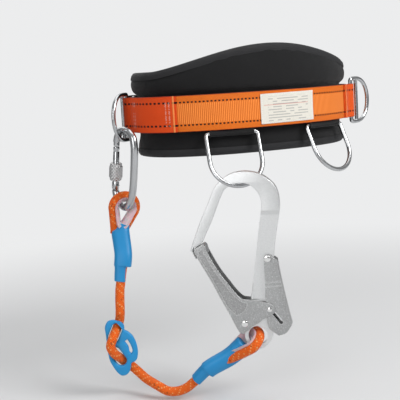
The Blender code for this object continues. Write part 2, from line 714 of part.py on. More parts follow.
def carabiner_gate():
    where = CARABINER_GATE
    gate = add("carabiner_gate", turned_y_mesh("carabiner_gate", BARREL_PROFILE, 14), STEEL, where)
    fork = rect(-0.008, 0.008, -0.009, 0.0068)
    cut(gate, plate_mesh("gate_fork", [fork], -0.0026, 0.0026), where)
    cut(gate, plate_mesh("gate_eye", [circle((0, 0), HINGE_EYE_R, 12)], -0.008, 0.008), where)
    cut(gate, turned_y_mesh("gate_bore", BORE_PROFILE, 12), where)
    add("carabiner_gate_pin", turned_mesh("carabiner_gate_pin", GATE_PIN_PROFILE, 12), STEEL,
        where)
    coil = [(x, z, y) for x, y, z in helix(0.00145, low=0.0090, pitch=0.0040, turns=3, per=8)]
    add("carabiner_gate_spring", wire_mesh("carabiner_gate_spring", coil, 0.00035, resolution=0),
        SPRING, where)
    add("carabiner_screw_sleeve", turned_y_mesh("carabiner_screw_sleeve", SCREW_PROFILE), STEEL,
        where)


carabiner_body()
carabiner_gate()

# ---------------------------------------------------------------- rope lanyard
# adjuster's frame: local X level along its plate, Y up, Z out of its face
ADJUSTER_X = Vector((0.9063, -0.4226, 0.0))
ADJUSTER_Z = Vector((-0.4226, -0.9063, 0.0))
ADJUSTER = axes_frame(ADJUSTER_X, UP, ADJUSTER_Z, Vector((-0.2022, -0.0216, -0.2961)))
# hook's frame: local X along its plane, Y up, Z out of its face
HOOK = plane_frame(Vector((-0.0672, -0.1160, -0.0945)), HOOK_AZ)
HOOK_EYE = (0.0129, -0.1851)
HOOK_EYE_SETBACK = 0.0138    # from the hook's eye back to the rope eye's centre


def eye_frame(centre, to_rope, normal):
    """Local Y from the rope towards the eye's crown, local Z along the eye's axis."""
    y = -(to_rope - normal * to_rope.dot(normal)).normalized()
    return axes_frame(y.cross(normal), y, normal, centre)


EYE_UPPER = eye_frame(CARABINER @ Vector((0.0020, -0.1012, 0.0)) + Vector((0, 0, -0.0002)),
                      Vector((-0.0080, -0.0060, -0.0300)),
                      Vector((-0.060, -0.990, -0.130)).normalized())

# the lower eye's plane holds a line in the hook's plane and one leaning out of it
lean = math.radians(26)
LOWER_ALONG = (HOOK.to_3x3() @ Vector((0.80, 0.60, 0.0))).normalized()
LOWER_ACROSS = (HOOK.to_3x3() @ Vector((0.6 * math.sin(lean), -0.8 * math.sin(lean),
                                        math.cos(lean)))).normalized()
EYE_LOWER = eye_frame(HOOK @ Vector((HOOK_EYE[0] - HOOK_EYE_SETBACK * 0.8,
                                     HOOK_EYE[1] - HOOK_EYE_SETBACK * 0.6, 0.0)),
                      -LOWER_ALONG, LOWER_ALONG.cross(LOWER_ACROSS).normalized())

# the standing rope's centre line (x, y, z): world points above the adjuster, points in the
# adjuster's frame where it weaves through the plate, and world points below it
ROPE_ABOVE = mm([(-186.8, -7.8, -177.9), (-193.0, -10.8, -208.2), (-196.7, -12.6, -226.0),
                 (-199.0, -15.8, -247.6)])
ROPE_WEAVE = mm([
    (-1.0, 36.5, -9.2), (-3.0, 30.4, -8.4), (-5.0, 25.6, -5.0), (-7.2, 21.0, 0.0),
    (-9.2, 17.0, 5.0), (-11.6, 11.8, 8.8), (-13.4, 5.0, 9.6), (-12.4, -0.6, 8.8),
    (-9.0, -6.0, 5.0), (-5.6, -10.6, 0.0), (-2.2, -15.6, -5.0), (1.6, -20.6, -9.4),
    (7.6, -26.0, -9.9), (15.6, -31.6, -8.8), (25.6, -42.4, -6.8)])
ROPE_BELOW = mm([(-165.0, -50.0, -347.0), (-153.6, -58.6, -353.3), (-139.9, -68.3, -350.5),
                 (-128.7, -76.5, -341.0), (-110.6, -89.3, -322.5)])
ROPE_LINE = smooth(
    [EYE_UPPER @ Vector((0, -EYE_R, 0)), EYE_UPPER @ Vector((0, -0.030, 0))] + ROPE_ABOVE
    + [ADJUSTER @ Vector(p) for p in ROPE_WEAVE] + ROPE_BELOW
    + [EYE_LOWER @ Vector((0, -0.036, 0)), EYE_LOWER @ Vector((0, -EYE_R, 0))], 0.0100)

rope = add("lanyard_rope", wire_mesh("lanyard_rope", ROPE_LINE, ROPE_R), ROPE)
EYE_RING = [(x, y, 0.0) for x, y in circle((0, 0), EYE_R, 18)]
for eye in (EYE_UPPER, EYE_LOWER):
    cut(rope, wire_mesh("eye_ring", EYE_RING, ROPE_R, cyclic=True), eye, "UNION")


def thimble(name, where):
    """A ring that lines the eye, grooved outside for the rope."""
    flank = [(0.0086, 0.0), (0.0089, 0.0034), (0.0100, 0.0060), (0.0122, 0.0064)]
    groove_r = ROPE_R + 0.0004
    groove = []
    for k in range(5):
        a = math.radians(60 - 30 * k)
        groove.append((EYE_R - groove_r * math.cos(a), groove_r * math.sin(a)))
    profile = flank + groove + [(r, -h) for r, h in reversed(flank)]
    add(name, turned_mesh(name, profile), PINK, where)


thimble("thimble_upper", EYE_UPPER)
thimble("thimble_lower", EYE_LOWER)


def oval_rings(line, walk, sizes, side, count=12):
    """Oval sections across a line, their width lying towards side."""
    rings = []
    for along, half_width, half_depth in sizes:
        k = max(i for i in range(len(walk) - 1) if walk[i] <= along)
        f = (along - walk[k]) / (walk[k + 1] - walk[k])
        centre = line[k].lerp(line[k + 1], f)
        tangent = (line[min(k + 2, len(line) - 1)] - line[max(k - 1, 0)]).normalized()
        x = (side - tangent * side.dot(tangent)).normalized()
        y = tangent.cross(x)
        rings.append([centre + x * half_width * math.cos(2 * math.pi * j / count)
                      + y * half_depth * math.sin(2 * math.pi * j / count)
                      for j in range(count)])
    return rings


def rope_sleeve(name, line, sizes, side):
    """A rubber sleeve over the rope, bored through past both ends."""
    walk = distances(line)
    sleeve = add(name, loft_mesh(name, oval_rings(line, walk, sizes, side)), BLUE)
    low, high = sizes[0][0] - 0.012, sizes[-1][0] + 0.012
    inside = [point for point, along in zip(line, walk) if low <= along <= high]
    cut(sleeve, wire_mesh(name + "_bore", inside, ROPE_R + 0.0009))


# (distance from the eye's end of the rope line, half width, half depth)
UPPER_SLEEVE = [
    (0.0072, 0.0112, 0.0082), (0.0110, 0.0120, 0.0088), (0.0350, 0.0120, 0.0088),
    (0.0610, 0.0114, 0.0086), (0.0660, 0.0105, 0.0082), (0.0700, 0.0078, 0.0075),
    (0.0860, 0.0074, 0.0074)]
LOWER_SLEEVE = [
    (0.0072, 0.0104, 0.0084), (0.0110, 0.0112, 0.0090), (0.0350, 0.0112, 0.0090),
    (0.0520, 0.0106, 0.0086), (0.0560, 0.0078, 0.0075), (0.0720, 0.0074, 0.0074)]
rope_sleeve("rope_sleeve_upper", ROPE_LINE, UPPER_SLEEVE, ADJUSTER_X)
rope_sleeve("rope_sleeve_lower", ROPE_LINE[::-1], LOWER_SLEEVE, LOWER_ACROSS.cross(LOWER_ALONG))

# adjuster plate's edge (x, y) in its own frame
ADJUSTER_EDGE = mm([
    (-10.5, 37.9), (-15.2, 36.8), (-18.3, 33.4), (-20.1, 28.2), (-19.9, 22.3), (-19.4, 17.0),
    (-18.9, 7.4), (-18.4, -2.1), (-17.4, -11.8), (-15.6, -18.2), (-12.5, -24.5), (-8.3, -31.3),
    (-4.6, -35.1), (-1.2, -36.5), (3.5, -35.6), (7.2, -32.3), (9.6, -27.0), (10.8, -21.1),
    (12.7, -19.4), (15.6, -18.4), (18.8, -14.4), (20.2, -6.8), (19.8, 1.6), (18.0, 8.8),
    (15.0, 15.5), (11.3, 19.9), (7.4, 22.8), (4.9, 24.2), (3.6, 27.0), (1.6, 30.4),
    (-1.6, 34.4), (-5.6, 37.2)])
# the rope's two slots and a small curved window
ADJUSTER_HOLES = [
    stadium((-0.0072, 0.0210), (-0.43, -0.90), half_length=0.0132, half_width=0.0068),
    stadium((-0.0053, -0.0104), (0.56, -0.83), half_length=0.0134, half_width=0.0068),
    mm([(4.2, 9.0), (8.4, 2.3), (9.4, -4.3), (11.6, -7.4), (13.4, -3.4), (11.4, 4.0),
        (7.6, 11.4)])]
add("rope_adjuster",
    plate_mesh("rope_adjuster", [ADJUSTER_EDGE] + ADJUSTER_HOLES, -0.0024, 0.0024), BLUE, ADJUSTER)

# ---------------------------------------------------------------- hook body
# All outlines are (x, y) in the hook's frame.
GATE_PIVOT = (-0.0023, -0.1685)
LEVER_PIVOT = (0.0296, -0.0867)
LOCK_PIN = (0.0296, -0.1510)
BODY_EDGE = mm([
    (-65.6, -72.6), (-52.9, -40.6), (-41.9, -17.8), (-33.2, 1.0), (-28.1, 7.5), (-20.0, 14.8),
    (-10.3, 19.6), (-0.7, 21.6), (8.8, 21.6), (18.1, 19.9), (27.3, 16.3), (36.4, 9.3),
    (42.6, 2.0), (45.9, -7.5), (47.1, -18.9), (46.4, -28.4), (43.2, -45.4), (40.1, -62.5),
    (37.4, -80.6), (37.0, -86.0), (36.6, -100.0), (35.4, -118.0), (31.0, -138.0),
    (27.0, -146.4), (26.3, -150.5), (27.2, -155.0), (29.4, -160.0), (30.9, -168.0),
    (31.3, -177.0), (31.4, -184.3), (28.6, -192.5), (20.7, -200.4), (13.5, -202.4),
    (6.2, -201.0), (-0.2, -195.6), (-3.3, -188.6), (-4.0, -181.8), (-7.4, -176.6),
    (-9.4, -171.5), (-9.3, -165.4), (-5.0, -159.5), (2.6, -151.0), (6.2, -138.4),
    (11.1, -109.5), (16.3, -74.3), (19.7, -52.0), (23.7, -29.5), (25.1, -20.1), (24.5, -13.4),
    (21.6, -5.7), (16.2, 1.1), (10.8, 5.1), (4.2, 7.0), (-3.3, 7.3), (-11.0, 5.4),
    (-17.9, 1.4), (-21.9, -2.3), (-25.1, -7.9), (-29.4, -17.3), (-36.1, -33.4), (-42.7, -47.7),
    (-50.8, -63.6), (-51.6, -65.6), (-57.2, -69.2), (-62.8, -72.2), (-63.4, -76.2),
    (-59.0, -85.6), (-60.3, -86.4), (-65.2, -76.4)])


def hook_body():
    holes = [circle(HOOK_EYE, 0.0121, 22), circle(GATE_PIVOT, 0.00265, 12),
             circle(LEVER_PIVOT, 0.00265, 12)]
    body = add("hook_body", plate_mesh("hook_body", [BODY_EDGE] + holes, -HOOK_HALF_THICK,
                                       HOOK_HALF_THICK), ALLOY, HOOK)
    # both faces thinned round the eye, and a round pocket for the gate's spring
    eye_tab = rect(-0.014, 0.040, -0.176, -0.210)
    cut(body, plate_mesh("tab_front", [eye_tab], 0.0040, 0.0100), HOOK)
    cut(body, plate_mesh("tab_back", [eye_tab], -0.0100, -0.0040), HOOK)
    cut(body, plate_mesh("spring_pocket", [circle(GATE_PIVOT, 0.0056, 16)], 0.0028, 0.0100), HOOK)
    # relief for the left tool ring's wire, swung about a line from its bow to the left D-ring
    bow = TOOL_LEFT_FRAME @ Vector((0.0, -TOOL_LEFT_DROP, 0.0))
    axis = (D_LEFT_FRAME @ Vector((0.0235, -D_HALF, 0.0)) - bow).normalized()
    ring_tube = wire_mesh("ring_relief", tool_ring_line(TOOL_LEFT_DROP), TOOL_WIRE_R + 0.0008,
                          cyclic=True)
    for swing in (0.0, 2.0, 4.0):
        turn = (Matrix.Translation(bow) @ Matrix.Rotation(math.radians(-swing), 4, axis)
                @ Matrix.Translation(-bow))
        cut(body, ring_tube.copy(), turn @ TOOL_LEFT_FRAME)


hook_body()

# ---------------------------------------------------------------- hook gate and lever
GATE_EDGE = mm([
    (-61.3, -72.9), (-50.3, -66.9), (-47.4, -69.2), (-44.4, -77.9), (-32.5, -100.5),
    (-20.4, -118.0), (-12.9, -128.4), (-7.1, -134.6), (-3.3, -137.2), (5.7, -138.4),
    (22.6, -141.2), (30.4, -143.9), (35.2, -147.0), (37.0, -151.6), (34.8, -155.6),
    (28.7, -159.1), (21.5, -162.6), (15.3, -167.7), (8.1, -171.7), (0.7, -177.8),
    (-5.5, -181.8), (-9.5, -179.7), (-15.0, -169.4), (-18.6, -161.1), (-25.9, -146.6),
    (-33.2, -132.1), (-41.4, -114.6), (-51.5, -96.0), (-57.3, -84.9), (-61.6, -76.6)])
# the hollow between the cheeks, open on one side
GATE_HOLLOW = mm([
    (-56.6, -80.6), (-49.7, -95.2), (-39.7, -113.8), (-31.5, -131.3), (-24.2, -145.8),
    (-16.9, -160.4), (-13.3, -168.8), (-10.9, -175.4), (-6.0, -195.0), (60.0, -195.0),
    (60.0, -60.0), (-33.0, -60.0), (-42.0, -77.2)])
GATE_IN, GATE_OUT = 0.0084, 0.0098       # cheeks' inner and outer faces from the mid-plane
LEVER_EDGE = mm([
    (25.2, -86.6), (25.0, -99.7), (25.4, -118.9), (24.8, -136.1), (24.8, -157.5),
    (26.1, -170.9), (28.8, -177.0), (35.6, -182.2), (39.5, -184.8), (48.6, -181.3),
    (55.9, -171.7), (51.0, -148.7), (44.7, -114.2), (40.9, -89.0), (38.0, -86.9),
    (34.1, -83.6), (29.8, -81.4), (26.3, -83.2)])
LEVER_HOLLOW = mm([
    (0.0, -70.0), (48.0, -70.0), (48.0, -90.0), (39.4, -92.5), (42.7, -114.5), (49.0, -149.0),
    (53.2, -169.0), (46.5, -177.9), (44.0, -200.0), (0.0, -200.0)])
LEVER_IN, LEVER_OUT = 0.0064, 0.0080


def hook_at(x, y):
    return HOOK @ Matrix.Translation((x, y, 0))


def shifted(points, origin):
    return [(p[0] - origin[0], p[1] - origin[1]) for p in points]


def channel_part(name, pivot, edge, hollow, half_in, half_out, hole):
    """Two cheeks joined by a web, with its origin on the pivot; hole goes through the cheeks."""
    outlines = [shifted(edge, pivot), circle((0, 0), 0.0029, 12)]
    where = hook_at(*pivot)
    part = add(name, plate_mesh(name, outlines, -half_out, half_out), PLATED, where)
    cut(part, plate_mesh(name + "_channel", [shifted(hollow, pivot)], -half_in, half_in), where)
    cut(part, plate_mesh(name + "_hole", [hole], -0.012, 0.012), where)


def pin_track(count=8, overrun=0.03):
    """The lock pin's path as the lever sees it, while gate and lever turn together."""
    out = []
    for k in range(-1, count + 2):
        f = min(1.0 + overrun, max(-overrun, k / count))
        gate_turn, lever_turn = math.radians(-GATE_OPEN * f), math.radians(-LEVER_OPEN * f)
        from_gate = Vector(shifted([LOCK_PIN], GATE_PIVOT)[0])
        pin = Matrix.Rotation(gate_turn, 2) @ from_gate + Vector(GATE_PIVOT)
        out.append(Matrix.Rotation(-lever_turn, 2) @ (pin - Vector(LEVER_PIVOT)))
    return out


def track_cap(end, before, half):
    """Three points round the end of a track."""
    along = (end - before).normalized()
    across = Vector((-along.y, along.x))
    return [tuple(end + (along * math.cos(a) + across * math.sin(a)) * half)
            for a in (-0.8, 0.0, 0.8)]


def track_outline(track, half):
    """A slot of the given half width along a track."""
    left, right = [], []
    for i, p in enumerate(track):
        along = (track[min(i + 1, len(track) - 1)] - track[max(i - 1, 0)]).normalized()
        across = Vector((-along.y, along.x))
        left.append(tuple(p + across * half))
        right.append(tuple(p - across * half))
    first_cap = track_cap(track[0], track[1], half)
    last_cap = track_cap(track[-1], track[-2], half)
    return left + last_cap[::-1] + right[::-1] + first_cap[::-1]


channel_part("hook_gate", GATE_PIVOT, GATE_EDGE, GATE_HOLLOW, GATE_IN, GATE_OUT,
             hole=circle(shifted([LOCK_PIN], GATE_PIVOT)[0], 0.0022, 12))
channel_part("hook_lever", LEVER_PIVOT, LEVER_EDGE, LEVER_HOLLOW, LEVER_IN, LEVER_OUT,
             hole=track_outline(pin_track(), 0.0024))


# ---------------------------------------------------------------- hook rivets, pin and springs
def rivet(name, at, reach, head):
    """reach: from the mid-plane to under each head; head: the head's radius."""
    shank, dome = 0.0024, 0.0011
    half = [(0.0, reach + dome), (head * 0.6, reach + dome), (head, reach + dome * 0.4),
            (head, reach), (shank, reach)]
    profile = half + [(r, -h) for r, h in reversed(half)]
    add(name, turned_mesh(name, profile, 12), STEEL, hook_at(*at))


def torsion_spring(name, at, coil, wire_radius):
    add(name, wire_mesh(name, coil, wire_radius, resolution=0), SPRING, hook_at(*at))


rivet("hook_gate_rivet", GATE_PIVOT, reach=GATE_OUT + 0.0004, head=0.0046)
rivet("hook_lever_rivet", LEVER_PIVOT, reach=LEVER_OUT + 0.0026, head=0.0044)
LOCK_PIN_PROFILE = [(0.0, 0.0106), (0.0014, 0.0106), (0.0019, 0.0101),
                    (0.0019, -0.0101), (0.0014, -0.0106), (0.0, -0.0106)]
add("hook_lock_pin", turned_mesh("hook_lock_pin", LOCK_PIN_PROFILE, 12), STEEL,
    hook_at(*LOCK_PIN))
torsion_spring("hook_gate_spring", GATE_PIVOT,
               helix(0.0042, low=0.0034, pitch=0.0012, turns=2.0, per=10), 0.00045)
torsion_spring("hook_lever_spring", LEVER_PIVOT,
               helix(0.0040, low=LEVER_OUT + 0.0007, pitch=0.0010, turns=1.1, per=10), 0.0004)

# ---------------------------------------------------------------- origin
for obj in list(PARTS.objects) + list(CUTTERS.objects):
    obj.location = obj.location + Vector(ORIGIN_SHIFT)
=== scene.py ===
import json
import math
import random

import bmesh
import bpy
from mathutils import Matrix, Vector, noise


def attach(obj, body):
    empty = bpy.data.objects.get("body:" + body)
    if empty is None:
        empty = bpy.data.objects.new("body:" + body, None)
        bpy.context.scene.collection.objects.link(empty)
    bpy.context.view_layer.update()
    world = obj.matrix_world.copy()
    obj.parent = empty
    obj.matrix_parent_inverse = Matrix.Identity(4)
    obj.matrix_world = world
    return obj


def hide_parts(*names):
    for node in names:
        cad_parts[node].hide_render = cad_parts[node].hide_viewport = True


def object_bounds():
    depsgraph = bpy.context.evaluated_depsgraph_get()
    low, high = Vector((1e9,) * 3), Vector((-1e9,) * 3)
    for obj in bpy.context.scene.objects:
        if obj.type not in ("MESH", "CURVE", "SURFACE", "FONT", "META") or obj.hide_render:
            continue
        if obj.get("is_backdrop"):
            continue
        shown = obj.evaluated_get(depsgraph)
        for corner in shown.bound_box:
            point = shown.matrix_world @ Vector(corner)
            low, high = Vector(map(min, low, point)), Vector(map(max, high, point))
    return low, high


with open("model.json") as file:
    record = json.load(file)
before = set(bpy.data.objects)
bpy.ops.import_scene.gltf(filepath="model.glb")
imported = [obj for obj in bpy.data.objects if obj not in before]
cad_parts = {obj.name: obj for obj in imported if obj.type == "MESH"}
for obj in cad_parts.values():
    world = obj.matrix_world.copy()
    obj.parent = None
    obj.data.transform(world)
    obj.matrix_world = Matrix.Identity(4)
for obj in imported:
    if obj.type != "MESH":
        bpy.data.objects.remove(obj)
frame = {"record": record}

lo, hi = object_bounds()
CAD_BOX = [[float(x) for x in lo], [float(x) for x in hi]]
random.seed(7)
Z = Vector((0.0, 0.0, 1.0))
SCENE = bpy.context.scene
SHIFT = Vector((0.020075, 0.020360, 0.138455))   # from the waist loop's centre, which everything is laid out about, to the frame's origin

# ---------------------------------------------------------------- dimensions and places shared with the frame

LOOP_A = 0.1545          # half width of the webbing's outer face
LOOP_B = 0.0975          # half depth of the webbing's outer face
LOOP_N = 2.25            # superellipse exponent
WEB_H = 0.045            # webbing width
WEB_T = 0.0025           # webbing thickness
GAP = 0.0003             # clearance between neighbours
PAD_END = 0.285          # pad half length along the belt, from the spine
PAD_TOP = 0.0525         # pad top at the hips
PAD_RISE = 0.0285        # further rise at the spine
PAD_BOT = -0.0535        # pad bottom
COVER_T = 0.0012         # pad cover cloth
ROPE_R = 0.0060          # lanyard rope radius
BAR_R = 0.0028           # tool ring wire radius
DWIRE_R = 0.0034         # D-ring wire radius
BODY_HT = 0.006          # hook body half thickness
LEVER_AZ = 35.0          # heading of the hook's plane
KARABINER_AZ = 9.0       # heading of the carabiner's plane
CARA_R = 0.0049          # carabiner bar radius
GATE_OPEN = 28.2
LEVER_OPEN = 6.0

Z = Vector((0.0, 0.0, 1.0))


def to_mesh(bm, name, weld=2e-6):
    bmesh.ops.remove_doubles(bm, verts=bm.verts, dist=weld)
    bmesh.ops.dissolve_degenerate(bm, dist=1e-7, edges=bm.edges)
    bmesh.ops.recalc_face_normals(bm, faces=bm.faces)
    mesh = bpy.data.meshes.new(name)
    bm.to_mesh(mesh)
    bm.free()
    return mesh


def curve_mesh(curve, name, weld=2e-6):
    """The welded, closed mesh of a curve."""
    guide = bpy.data.objects.new(name + "_guide", curve)
    bpy.context.scene.collection.objects.link(guide)
    bpy.context.view_layer.update()
    raw = bpy.data.meshes.new_from_object(guide.evaluated_get(bpy.context.evaluated_depsgraph_get()))
    bpy.data.objects.remove(guide, do_unlink=True)
    bm = bmesh.new()
    bm.from_mesh(raw)
    bpy.data.meshes.remove(raw)
    return to_mesh(bm, name, weld)


def wire_mesh(name, points, radius, cyclic=False, resolution=2):
    curve = bpy.data.curves.new(name, "CURVE")
    curve.dimensions = "3D"
    curve.bevel_depth = radius
    curve.bevel_resolution = resolution
    curve.use_fill_caps = True
    spline = curve.splines.new("POLY")
    spline.points.add(len(points) - 1)
    for slot, point in zip(spline.points, points):
        slot.co = (*point, 1.0)
    spline.use_cyclic_u = cyclic
    return curve_mesh(curve, name)


def plate_mesh(name, outlines, low, high):
    """A flat piece between two levels of local Z: the first outline is its edge, the others are holes."""
    curve = bpy.data.curves.new(name, "CURVE")
    curve.dimensions = "2D"
    curve.fill_mode = "BOTH"
    curve.extrude = (high - low) / 2
    for outline in outlines:
        spline = curve.splines.new("POLY")
        spline.points.add(len(outline) - 1)
        for slot, point in zip(spline.points, outline):
            slot.co = (point[0], point[1], 0.0, 1.0)
        spline.use_cyclic_u = True
    mesh = curve_mesh(curve, name)
    mesh.transform(Matrix.Translation((0, 0, (low + high) / 2)))
    return mesh


def turned_mesh(name, profile, steps=48):
    """A profile of (radius, height), spun about local Z."""
    bm = bmesh.new()
    verts = [bm.verts.new((r, 0.0, h)) for r, h in profile]
    edges = [bm.edges.new(pair) for pair in zip(verts, verts[1:])]
    bmesh.ops.spin(bm, geom=verts + edges, cent=(0, 0, 0), axis=(0, 0, 1), angle=2 * math.pi, steps=steps)
    return to_mesh(bm, name, 1e-6)


def loft_mesh(name, rings, closed_path=False):
    """Skins a row of closed sections of equal count, with flat ends."""
    bm = bmesh.new()
    rows = [[bm.verts.new(p) for p in ring] for ring in rings]
    count = len(rows[0])
    pairs = list(zip(rows, rows[1:]))
    if closed_path:
        pairs.append((rows[-1], rows[0]))
    for one, two in pairs:
        for k in range(count):
            bm.faces.new((one[k], one[(k + 1) % count], two[(k + 1) % count], two[k]))
    if not closed_path:
        bm.faces.new(rows[0])
        bm.faces.new(rows[-1])
    return to_mesh(bm, name, 1e-7)



def plane_frame(origin, azimuth, tilt=0.0):
    """Local X runs level along the plane, local Y up and local Z out of its face towards -Y of the world."""
    a = math.radians(azimuth)
    x = Vector((math.cos(a), -math.sin(a), 0.0))
    n = Vector((-math.sin(a), -math.cos(a), 0.0))
    m = Matrix((x, Z, n)).transposed().to_4x4()
    m.translation = origin
    return m @ Matrix.Rotation(math.radians(tilt), 4, "Z")


def mm(points):
    return [(p[0] / 1000.0, p[1] / 1000.0) for p in points]


def rect(x0, x1, y0, y1):
    return [(x0, y0), (x1, y0), (x1, y1), (x0, y1)]


def circle(centre, radius, count=16):
    return [(centre[0] + radius * math.cos(2 * math.pi * k / count), centre[1] + radius * math.sin(2 * math.pi * k / count))
            for k in range(count)]


def rounded(points, radius, count=3):
    """Rounds the corners of an outline."""
    out = []
    n = len(points)
    for i, p in enumerate(points):
        a, b, c = Vector(points[i - 1]), Vector(p), Vector(points[(i + 1) % n])
        r = min(radius, (a - b).length * 0.45, (c - b).length * 0.45)
        p0, p1 = b + (a - b).normalized() * r, b + (c - b).normalized() * r
        for k in range(count + 1):
            t = k / count
            out.append(tuple(p0 * (1 - t) ** 2 + b * 2 * t * (1 - t) + p1 * t ** 2))
    return out


def smooth(points, step):
    """A Catmull-Rom line through the points, sampled about every step."""
    pts = [Vector(p) for p in points]
    pts = [pts[0] * 2 - pts[1]] + pts + [pts[-1] * 2 - pts[-2]]
    out = []
    for i in range(1, len(pts) - 2):
        p0, p1, p2, p3 = pts[i - 1:i + 3]
        n = max(1, int(round((p2 - p1).length / step)))
        for k in range(n):
            t = k / n
            out.append(0.5 * ((2 * p1) + (p2 - p0) * t + (2 * p0 - 5 * p1 + 4 * p2 - p3) * t * t
                              + (3 * p1 - p0 - 3 * p2 + p3) * t ** 3))
    out.append(pts[-2])
    return out


# ---------------------------------------------------------------- the waist line
def _superellipse(t):
    c, s = math.cos(t), math.sin(t)
    return (math.copysign(abs(c) ** (2 / LOOP_N), c) * LOOP_A, math.copysign(abs(s) ** (2 / LOOP_N), s) * LOOP_B)


_TABLE = []
_len = 0.0
_prev = None
for _k in range(7201):
    _p = Vector(_superellipse(-math.pi / 2 + 2 * math.pi * _k / 7200.0))
    if _prev is not None:
        _len += (_p - _prev).length
    _TABLE.append((_len, _p))
    _prev = _p
LOOP_LEN = _len


def _at(s):
    s %= LOOP_LEN
    lo, hi = 0, len(_TABLE) - 1
    while hi - lo > 1:
        mid = (lo + hi) // 2
        if _TABLE[mid][0] <= s:
            lo = mid
        else:
            hi = mid
    f = (s - _TABLE[lo][0]) / max(1e-12, _TABLE[hi][0] - _TABLE[lo][0])
    return _TABLE[lo][1].lerp(_TABLE[hi][1], f)


def belt(s, off=0.0, z=0.0):
    """A point s along the belt from the spine (positive towards the wearer's right), off outwards from its outer face."""
    p = _at(s)
    t = (_at(s + 0.002) - _at(s - 0.002)).normalized()
    return Vector((p.x + t.y * off, p.y - t.x * off, z))


def belt_frame(s, off=0.0, z=0.0):
    """Local X along the belt, local Y up, local Z outwards."""
    t = (_at(s + 0.002) - _at(s - 0.002)).normalized()
    m = Matrix(((t.x, t.y, 0.0), (0.0, 0.0, 1.0), (t.y, -t.x, 0.0))).transposed().to_4x4()
    m.translation = belt(s, off, z)
    return m


def stations(s0, s1, step=0.019):
    """Places along the belt shared by every layer, so that the layers stay parallel."""
    inner = [k * step for k in range(-40, 41) if s0 + 0.25 * step < k * step < s1 - 0.25 * step]
    return [s0] + inner + [s1]



def ease(x):
    x = min(1.0, max(0.0, x))
    return x * x * (3 - 2 * x)


def pad_top(s):
    a = abs(s)
    top = PAD_TOP + PAD_RISE * (0.5 + 0.5 * math.cos(math.pi * min(1.0, a / 0.175))) ** 0.8
    return top - 0.010 * ease((a - (PAD_END - 0.05)) / 0.05) ** 2


def pad_bottom(s):
    return PAD_BOT + 0.008 * ease((abs(s) - (PAD_END - 0.05)) / 0.05) ** 2


def outer_line(s):
    """The pad's outer face: a channel behind the webbing, fuller above it."""
    t, b = pad_top(s), pad_bottom(s)
    return [(-0.0108, b), (-0.0088, b + 0.006), (-0.0096, -0.0340), (-0.0112, -0.0316), (-0.0112, 0.0248), (-0.0045, 0.0262),
            (-0.0030, 0.0262 + 0.45 * (t - 0.0262)), (-0.0080, t)]



FOAM_IN = -0.0160

S_SPINE = 0.0
S_DL = -0.2230           # left D-ring tunnel on the belt
S_DR = 0.1570            # right D-ring tunnel
S_BUCKLE = LOOP_LEN / 2  # middle of the front
S_FRAME = S_BUCKLE - 0.040   # right-hand end of the webbing (buckle frame side)
S_PLATE = -(S_BUCKLE - 0.042)  # left-hand end (insert plate side)


FOLD_T = 0.0013
D_BAR_R = 0.0027
D_LEVEL = GAP
D_BAR_OFF = D_LEVEL + (D_BAR_R + GAP) + FOLD_T      # height of the D-ring bar's centre over the belt

D_HALF = 0.0293
D_REACH = 0.038
D_CROSS = 0.012



D_LEFT_HEAD = (-0.756, -0.651)
D_RIGHT_HEAD = (0.940, 0.334)


def d_frame(s, head, drop):
    x = Vector((head[0], head[1], 0.0)).normalized()
    m = Matrix((x, Z, x.cross(Z))).transposed().to_4x4()
    m.translation = belt(s, D_BAR_OFF, drop)
    return m


D_LEFT_M = d_frame(S_DL, D_LEFT_HEAD, -0.0024)
D_RIGHT_M = d_frame(S_DR, D_RIGHT_HEAD, 0.0)

RING_OFF = -0.0050
RING_Z = -0.0268
RING_HALF = 0.0335



S_RL = -0.0625
S_RR = 0.0790





def ring_frame(s, tilt, azimuth):
    return plane_frame(belt(s, RING_OFF, RING_Z), azimuth) @ Matrix.Rotation(math.radians(tilt), 4, "X").inverted()


RING_L_M = ring_frame(S_RL, 25.0, 12.6)
RING_R_M = ring_frame(S_RR, 24.0, -17.0)

BK = belt_frame(S_BUCKLE, 0.0, 0.0)

FR_Z = 0.0052
INS_Z = FR_Z + 0.0034
insert_pivot = BK @ Matrix.Translation((0.0325, 0, INS_Z))

P1 = Vector((-0.1742, 0.0020, -0.0250))
_ca = math.radians(KARABINER_AZ)
_ch = Vector((math.sin(_ca), -math.cos(_ca), 0.0))
_cn = _ch.cross(Z)
CARA = Matrix((_ch, Z, _cn)).transposed().to_4x4()
CARA.translation = P1
# the carabiner leans in its plane, its bottom towards the belt
CARA = CARA @ Matrix.Translation((-0.0030, 0, 0)) @ Matrix.Rotation(math.radians(-11.0), 4, "Z") @ Matrix.Translation((0.01325, 0.0091, 0))
# local: origin at the top of the bar's centre line, Y up, X from the gate to the spine
NOSE = (-0.0225, -0.0245)
HINGE = (-0.0222, -0.0790)
CARA_LINE = mm([(-22.0, -78.0), (-21.6, -84.0), (-19.6, -89.6), (-13.5, -96.4), (-4.5, -100.4), (4.5, -100.8), (12.0, -96.0), (18.0, -87.2),
                (21.7, -76.0), (23.1, -60.0), (23.3, -44.0), (23.1, -30.0), (22.2, -17.0), (18.5, -6.4), (11.0, -1.1), (2.0, 0.0), (-7.0, -0.6),
                (-14.5, -4.2), (-19.6, -11.0), (-22.0, -18.5), (-22.5, -24.0)])


def cara_path(step=0.0078):
    """From the hinge end round the bottom, up the spine and over the top to the nose."""
    return smooth([(x, y, 0.0) for x, y in CARA_LINE], step)



_gv = Vector((NOSE[0] - HINGE[0], NOSE[1] - HINGE[1], 0))
GATE_L = _gv.length
GATE_M = CARA @ Matrix.Translation((HINGE[0], HINGE[1], 0)) @ Matrix.Rotation(math.atan2(_gv.y, _gv.x) - math.pi / 2, 4, "Z")
FLAT = Matrix.Rotation(math.radians(-90), 4, "X")


def along_y(mesh):
    mesh.transform(FLAT)
    return mesh



